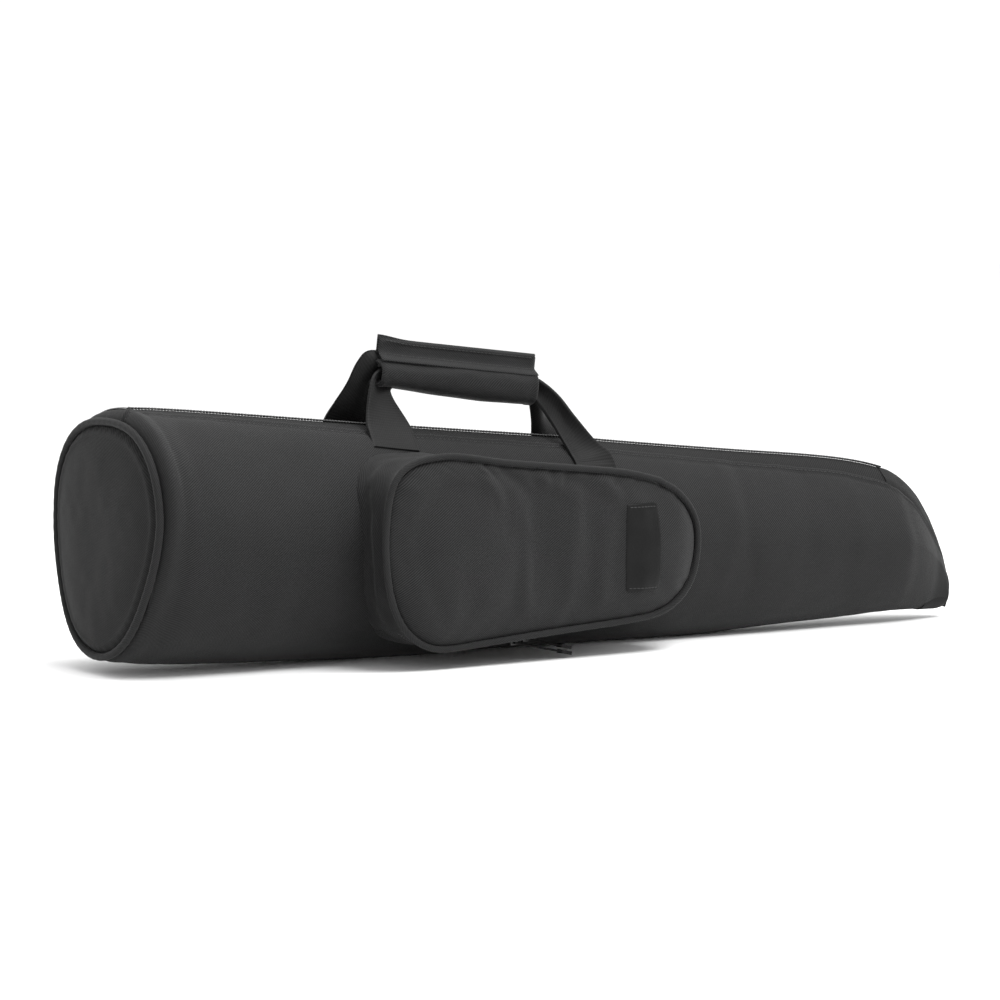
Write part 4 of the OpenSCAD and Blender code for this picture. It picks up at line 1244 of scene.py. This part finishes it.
o, _, _ = band("pocket_gusset_front", ZI0, ZI1, 4.2, 12.4, -1.2, -1.4, 1.2, M_GUSSET, "pocket_lid", 0.7, 0.35, 7, seed=1)
stand(o, "pocket_front_gusset")
o, _, _ = band("pocket_tape_outer", ZI0, ZI1, 12.0, 18.4, -2.4, -1.9, 0.6, M_TAPE, "pocket_lid", 0.0, 0.1, 4, seed=2)
stand(o, "pocket_tape_out")
o, _, _ = band("pocket_tape_inner", ZI0, ZI1, 22.6, 29.4, -1.9, -2.4, 0.6, M_TAPE, "shell", 0.0, 0.1, 4, seed=3)
stand(o, "pocket_tape_in")
ks = np.arange(ZI0, ZI1 + 1)
o, _, _ = band("pocket_gusset_rear", ZI0, ZI1, 29.0, np.maximum(DEP[ks % NO], 31) + 1.0, -1.3, -0.6, 1.2, M_GUSSET, "shell", 1.6, 0.6, 14, seed=4)
stand(o, "pocket_rear_gusset")
ks = np.arange(0, ZI0 + 1)
o, TG, TGN = band("pocket_gusset_top", 0, ZI0, 5.0, DEP[ks] + 1.0, -1.0, -0.8, 1.2, M_GUSSET, "shell", 1.4, 0.7, 18, seed=5)
stand(o, "pocket_top_gusset")
ks = np.arange(ZI1 - 14, ZL1 + 4) % NO
o, LG, LGN = band("pocket_gusset_left", ZI1 - 14, ZL1 + 3, 4.4, DEP[ks] + 1.0, -1.0, -0.8, 1.2, M_GUSSET, None, 0.0, 0.8, 22, pleat=2.2, seed=6)
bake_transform(o)
stand(o, "pocket_left_gusset")

# pocket zip teeth
ks = np.arange(ZI0, ZI1 + 1)
path = PF(O[ks][:, 0] - On[ks][:, 0] * 1.7, 20.5, O[ks][:, 1] - On[ks][:, 1] * 1.7)
s = np.concatenate([[0], np.cumsum(np.linalg.norm(np.diff(path, axis=0), axis=1))])
t = np.arange(1.5, s[-1] - 1, 2.3)
Pz = np.stack([np.interp(t, s, path[:, i]) for i in range(3)], 1)
Tz = unit(np.gradient(Pz, axis=0))
Yz = np.broadcast_to(YV, Pz.shape)
Nz = unit(np.cross(Tz, Yz))
cz = np.array([-140 * 0.5, -90, 80.0])
if np.sum(Nz * (Pz - cz)) < 0:
    Nz = -Nz
TO2 = ([(a * 0.78, b * 0.85, c * 0.85) for a, b, c in TOOTH[0]], TOOTH[1])
o = instances("pocket_teeth_outer", *TO2, Pz, -Yz, Tz, Nz, M_COIL, "pocket_lid")
stand(o, "pocket_coil_out")
o = instances("pocket_teeth_inner", *TO2, Pz + Tz * 1.15, Yz, Tz, Nz, M_COIL, "shell")
stand(o, "pocket_coil_in")

# stitches: along the piping on the left gusset
i = 3
o = stitches("gusset_stitch_left", LG[:, 2], LGN[:, 2], M_THREAD)
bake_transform(o)

# label: a plain glossy patch, sewn at its top and bottom
nx, nz = 26, 50
u, v = np.meshgrid(np.linspace(-1, 1, nx), np.linspace(-1, 1, nz), indexing="ij")
sq = (np.abs(u) ** 8 + np.abs(v) ** 16) ** (1 / 12.0)
cor = 1 - 0.04 * (np.abs(u) * np.abs(v)) ** 10
lx, lz = 14.4 + 14.1 * u * cor, 78.3 + 31.8 * v * cor
kk = np.array([np.min(np.hypot(*(O - np.array([a, b])).T)) for a, b in zip(lx.ravel(), lz.ravel())]).reshape(lx.shape)
# the panel's height where the label lies
Hl = np.zeros_like(lx)
F_XZ, F_H = XZ.reshape(-1, 2), H.ravel()
for a in range(nx):
    for b in range(nz):
        d2 = (F_XZ[:, 0] - lx[a, b]) ** 2 + (F_XZ[:, 1] - lz[a, b]) ** 2
        ii = np.argpartition(d2, 8)[:8]
        wgt = 1 / (d2[ii] + 0.5)
        Hl[a, b] = np.sum(wgt * F_H[ii]) / wgt.sum()
for _ in range(6):
    Hl[1:-1, 1:-1] = 0.5 * Hl[1:-1, 1:-1] + 0.125 * (Hl[:-2, 1:-1] + Hl[2:, 1:-1] + Hl[1:-1, :-2] + Hl[1:-1, 2:])
edge = np.maximum(np.abs(u) ** 20, np.abs(v) ** 40)
rise = 1.25 - 0.85 * edge - 0.35 * np.exp(-((np.abs(v) - 0.915) / 0.02) ** 2) - 0.22 * np.exp(-((np.abs(u) - 0.86) / 0.035) ** 2)
G = PF(lx, 2.7 - 1.1 * Hl - rise, lz)
Ng = grid_normals(G)
if np.mean(Ng[..., 1]) > 0:
    Ng = -Ng
uvg = np.stack([lx, lz], -1) * 0.001
o = layer("label_patch", G, Ng, 0, 1.3, M_LEATHER, uvg, "pocket_lid")
stand(o, "label")
for nm, b in (("label_stitch_low", 2), ("label_stitch_high", nz - 3)):
    stitches(nm, G[2:-2, b], Ng[2:-2, b], M_THREAD, "pocket_lid", 3.0, 0.05, 0.95)

# ------------------------------------------------------------------ handles
# edge pairs of the webbing, foot to foot (mm)
def on_body(x, y, lift=1.0):
    return (x, y, float(top_z(x, y)) + lift)


FE1 = [on_body(-169, -34.5), (-167.5, -30, 154.5), (-166.5, -24, 161), (-165, -17, 171), (-157.5, -9, 193), (-148, -4, 205), (-125, -2, 209), (-85, -1.5, 205),
       (-45, -1.5, 201), (-20, -3, 197.5), (-10, -6, 192.5), (0, -9.5, 183.5), (8, -17, 170), (22, -27, 150.5), (31, -32, 141.5), on_body(36, -37)]
FE2 = [on_body(-132, -34.5), (-131, -30, 152), (-130, -24, 158), (-130.5, -17, 167), (-139.5, -8.5, 187), (-136, -4, 194), (-120, -2, 196), (-85, -1.5, 193),
       (-45, -1.5, 188.5), (-22, -3, 184), (-14.5, -6, 178), (-7.5, -9.5, 166.5), (-3.5, -17, 155), (-0.5, -27, 142), (0, -32, 137.5), on_body(0.5, -37)]
RE1 = [on_body(-176, 40), (-173, 33, 169), (-167.5, 27, 182), (-160, 20, 197), (-156, 11, 212), (-149, 6, 219), (-125, 3, 213), (-85, 2, 206),
       (-45, 2, 202), (-20, 4, 199), (-11, 8, 192), (-3, 13, 182), (6, 20, 172), (22, 28, 155), (31, 33, 143.5), on_body(36, 39)]
RE2 = [on_body(-138, 40), (-138.5, 33, 163), (-141, 27, 171.5), (-144.5, 20, 182), (-145.5, 11, 198), (-139, 6, 207), (-120, 3, 201), (-85, 2, 194),
       (-45, 2, 190), (-22, 4, 185.5), (-15, 8, 178), (-10, 13, 167), (-5.5, 20, 157), (-1.5, 28, 144.5), (-0.5, 33, 139), on_body(0.5, 39)]


def ribbon(name, E1, E2, mat, sgn, seed):
    a, b = catmull(E1, 9), catmull(E2, 9)
    n = len(a)
    c = (a + b) / 2
    s = np.concatenate([[0], np.cumsum(np.linalg.norm(np.diff(c, axis=0), axis=1))])
    t = np.linspace(0, s[-1], 150)
    a = np.stack([np.interp(t, s, a[:, i]) for i in range(3)], 1)
    b = np.stack([np.interp(t, s, b[:, i]) for i in range(3)], 1)
    v = np.array([0, .03, .08, .2, .35, .5, .65, .8, .92, .97, 1.0])
    G = a[:, None] + (b - a)[:, None] * v[None, :, None]
    Ng = grid_normals(G)
    if np.sum(Ng[:25, :, 1]) * sgn < 0:
        Ng = -Ng
    w = np.linalg.norm(b - a, axis=1)
    # where the webbing narrows it folds into a trough
    fold = np.clip((38 - w) / 38, 0, 0.6)
    cup = -np.sin(np.pi * v)[None] * (0.8 + 17 * fold)[:, None] * 0.5
    cup[:5] *= 0.1
    cup[-5:] *= 0.1
    G = G + Ng * (cup + 0.35 * noise(t[:, None] / 16, v[None] * 2, 0, seed))[..., None]
    Ng = grid_normals(G)
    if np.sum(Ng[:25, :, 1]) * sgn < 0:
        Ng = -Ng
    lip = np.where((v < 0.02) | (v > 0.98), -0.45, np.where((v < 0.05) | (v > 0.95), 0.1, 0.0))
    G = G + Ng * lip[None, :, None]
    uv = np.stack(np.broadcast_arrays(t[:, None], v[None] * 38), -1) * 0.001
    return G, Ng, layer(name, G, Ng, -0.8, 1.0, mat, uv)


HV = np.array([math.sin(rad(6.3)), 0, math.cos(rad(6.3))])
Gf, Nf_, o = ribbon("front_webbing", FE1, FE2, M_WEB, -1, 61)
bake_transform(o)
stand(o, "front_strap", "front_strap_feet")
Gr, Nr_, o = ribbon("rear_webbing", RE1, RE2, M_WEB, 1, 62)
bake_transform(o)
stand(o, "rear_strap", "rear_strap_feet")


# grip: coordinates u along, v up across the slope, y through
def GR(u, y, v):
    u, y, v = np.broadcast_arrays(np.asarray(u, float), np.asarray(y, float), np.asarray(v, float))
    c, s = math.cos(rad(6.3)), math.sin(rad(6.3))
    return np.stack([-80 + u * c + v * s, y, 194.6 - u * s + v * c], -1)


U0, U1 = -69.5, 62.5
us = np.concatenate([[U0, U0 + .5, U0 + 1.4, U0 + 3.0, U0 + 4.2], np.linspace(U0 + 7, U1 - 7, 44), [U1 - 4.2, U1 - 3.0, U1 - 1.4, U1 - .5, U1]])
ts = np.arange(64) * 2 * np.pi / 64
cy, sv = np.cos(ts), np.sin(ts)
hemp = lambda u: 0.55 * np.exp(-((np.minimum(u - U0, U1 - u) - 2.2) / 1.5) ** 2) - 1.2 * np.exp(-(np.minimum(u - U0, U1 - u) / 0.8) ** 2) - 0.5 * np.exp(-((np.minimum(u - U0, U1 - u) - 5.4) / 1.0) ** 2)
UU, TT = np.meshgrid(us, ts, indexing="ij")
ry = 12.0 + 0.35 * noise(UU / 18, TT * 1.2, 0, 71) + 0.25 * noise(UU / 7, TT * 2, 0, 72) + hemp(UU)
rv = 12.3 - 2.6 * (1 - smooth((UU - U0) / 90)) + 0.4 * noise(UU / 22, TT * 1.1, 0, 73) + hemp(UU)
yy = ry * np.sign(np.cos(TT)) * np.abs(np.cos(TT)) ** 0.78
vv = rv * np.sign(np.sin(TT)) * np.abs(np.sin(TT)) ** 0.8
sag = -1.6 * np.sin(np.pi * (UU - U0) / (U1 - U0)) * 0.7
vv = vv + 1.4 + np.where(vv > 0, 0, 0) + sag * 0.4
G = GR(UU, yy, vv)
Ng = grid_normals(np.concatenate([G, G[:, :1]], 1))[:, :-1]
cen = GR(UU, 0 * yy, -1.6)
if np.sum(Ng * (G - cen)) < 0:
    Ng = -Ng
Ng[:, 0] = unit(Ng[:, 1] + Ng[:, -1])
uvg = np.stack([UU, TT * 12.2], -1) * 0.001
roll = layer("grip_roll", G, Ng, 0, 5.0, M_GRIP, uvg, "front_handle", 50, True)
stand(roll, "grip_wrap", "grip_foam")


def leaf(name, yb, ysgn, v0, v1, thick, body, seed, du0=0.0, du1=0.0, blend=None):
    """One flat leaf of the wrap above the roll."""
    u_ = np.concatenate([[U0 + du0, U0 + du0 + .6, U0 + du0 + 2.2, U0 + du0 + 4.2], np.linspace(U0 + du0 + 7, U1 + du1 - 7, 46), [U1 + du1 - 4.2, U1 + du1 - 2.2, U1 + du1 - .6, U1 + du1]])
    q = np.array([0, .04, .1, .18, .28, .4, .52, .64, .74, .82, .88, .93, .97, 1.0])
    A, Bq = np.meshgrid(u_, q, indexing="ij")
    up = 1.8 * np.exp(-((A - U0) / 16.0) ** 2)
    V = v0 + (v1 + up * 1.3 - v0) * Bq
    rim = np.minimum(np.minimum(A - U0 - du0, U1 + du1 - A), 1.15 * (v1 - V) + 0.0)
    puff = 0.6 * np.exp(-((rim - 2.2) / 1.4) ** 2) - 0.9 * np.exp(-(np.maximum(rim, 0) / 0.7) ** 2) - 0.45 * np.exp(-((rim - 5.2) / 0.9) ** 2)
    base = 7.4 * (1 - smooth(Bq / 0.42)) ** 1.2
    Y = yb + ysgn * (base + puff + 0.45 * noise(A / 19, V / 9, 0, seed) + 0.25 * np.sin(A / 11.0) * Bq)
    G = GR(A, Y, V)
    Ng = grid_normals(G)
    if np.mean(Ng[..., 1]) * ysgn < 0:
        Ng = -Ng
    uv = np.stack([A, V], -1) * 0.001
    o = layer(name, G, Ng, 0, thick, M_GRIP, uv, None if blend else body)
    if blend:
        GR(0, -3.6, 11.5) * 0.001
        GR(0, -3.6, 17.0) * 0.001
        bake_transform(o)
    return o, G, Ng


lf, LFG, LFN = leaf("grip_leaf_front", -2.2, -1, 11.0, 26.4, 1.5, "wrap_leaf", 81, blend=True)
stand(lf, "grip_flap")
lr, LRG, LRN = leaf("grip_leaf_rear", 2.2, 1, 11.0, 26.9, 1.5, "front_handle", 82)
stitches("grip_stitch_top", LFG[3:-3, -5], LFN[3:-3, -5], M_THREAD, "wrap_leaf", 3.2)
stitches("grip_stitch_base", LFG[3:-3, 4], LFN[3:-3, 4], M_THREAD, "front_handle", 3.2)
stitches("grip_stitch_rear", LRG[3:-3, -5], LRN[3:-3, -5], M_THREAD, "front_handle", 3.2)


# ------------------------------------------------------------------ CAD parts that stay
def finish_node(name, mat, slot_name=None):
    o = NODES[name]
    if not o.material_slots:
        o.data.materials.append(mat)
    for s_ in o.material_slots:
        s_.link = "OBJECT"
        s_.material = mat


for n_, m_ in (("hook_strip", M_HOOK), ("loop_strip", M_LOOP), ("zip_stop", M_METAL), ("end_board", M_BOARD), ("main_slider", M_METAL),
               ("main_puller", M_METAL), ("pocket_slider_a", M_METAL), ("pocket_slider_b", M_METAL), ("pull_cord_a", M_CORD),
               ("pull_cord_b", M_CORD), ("pull_tip_a", M_TIP), ("pull_tip_b", M_TIP)):
    finish_node(n_, m_)
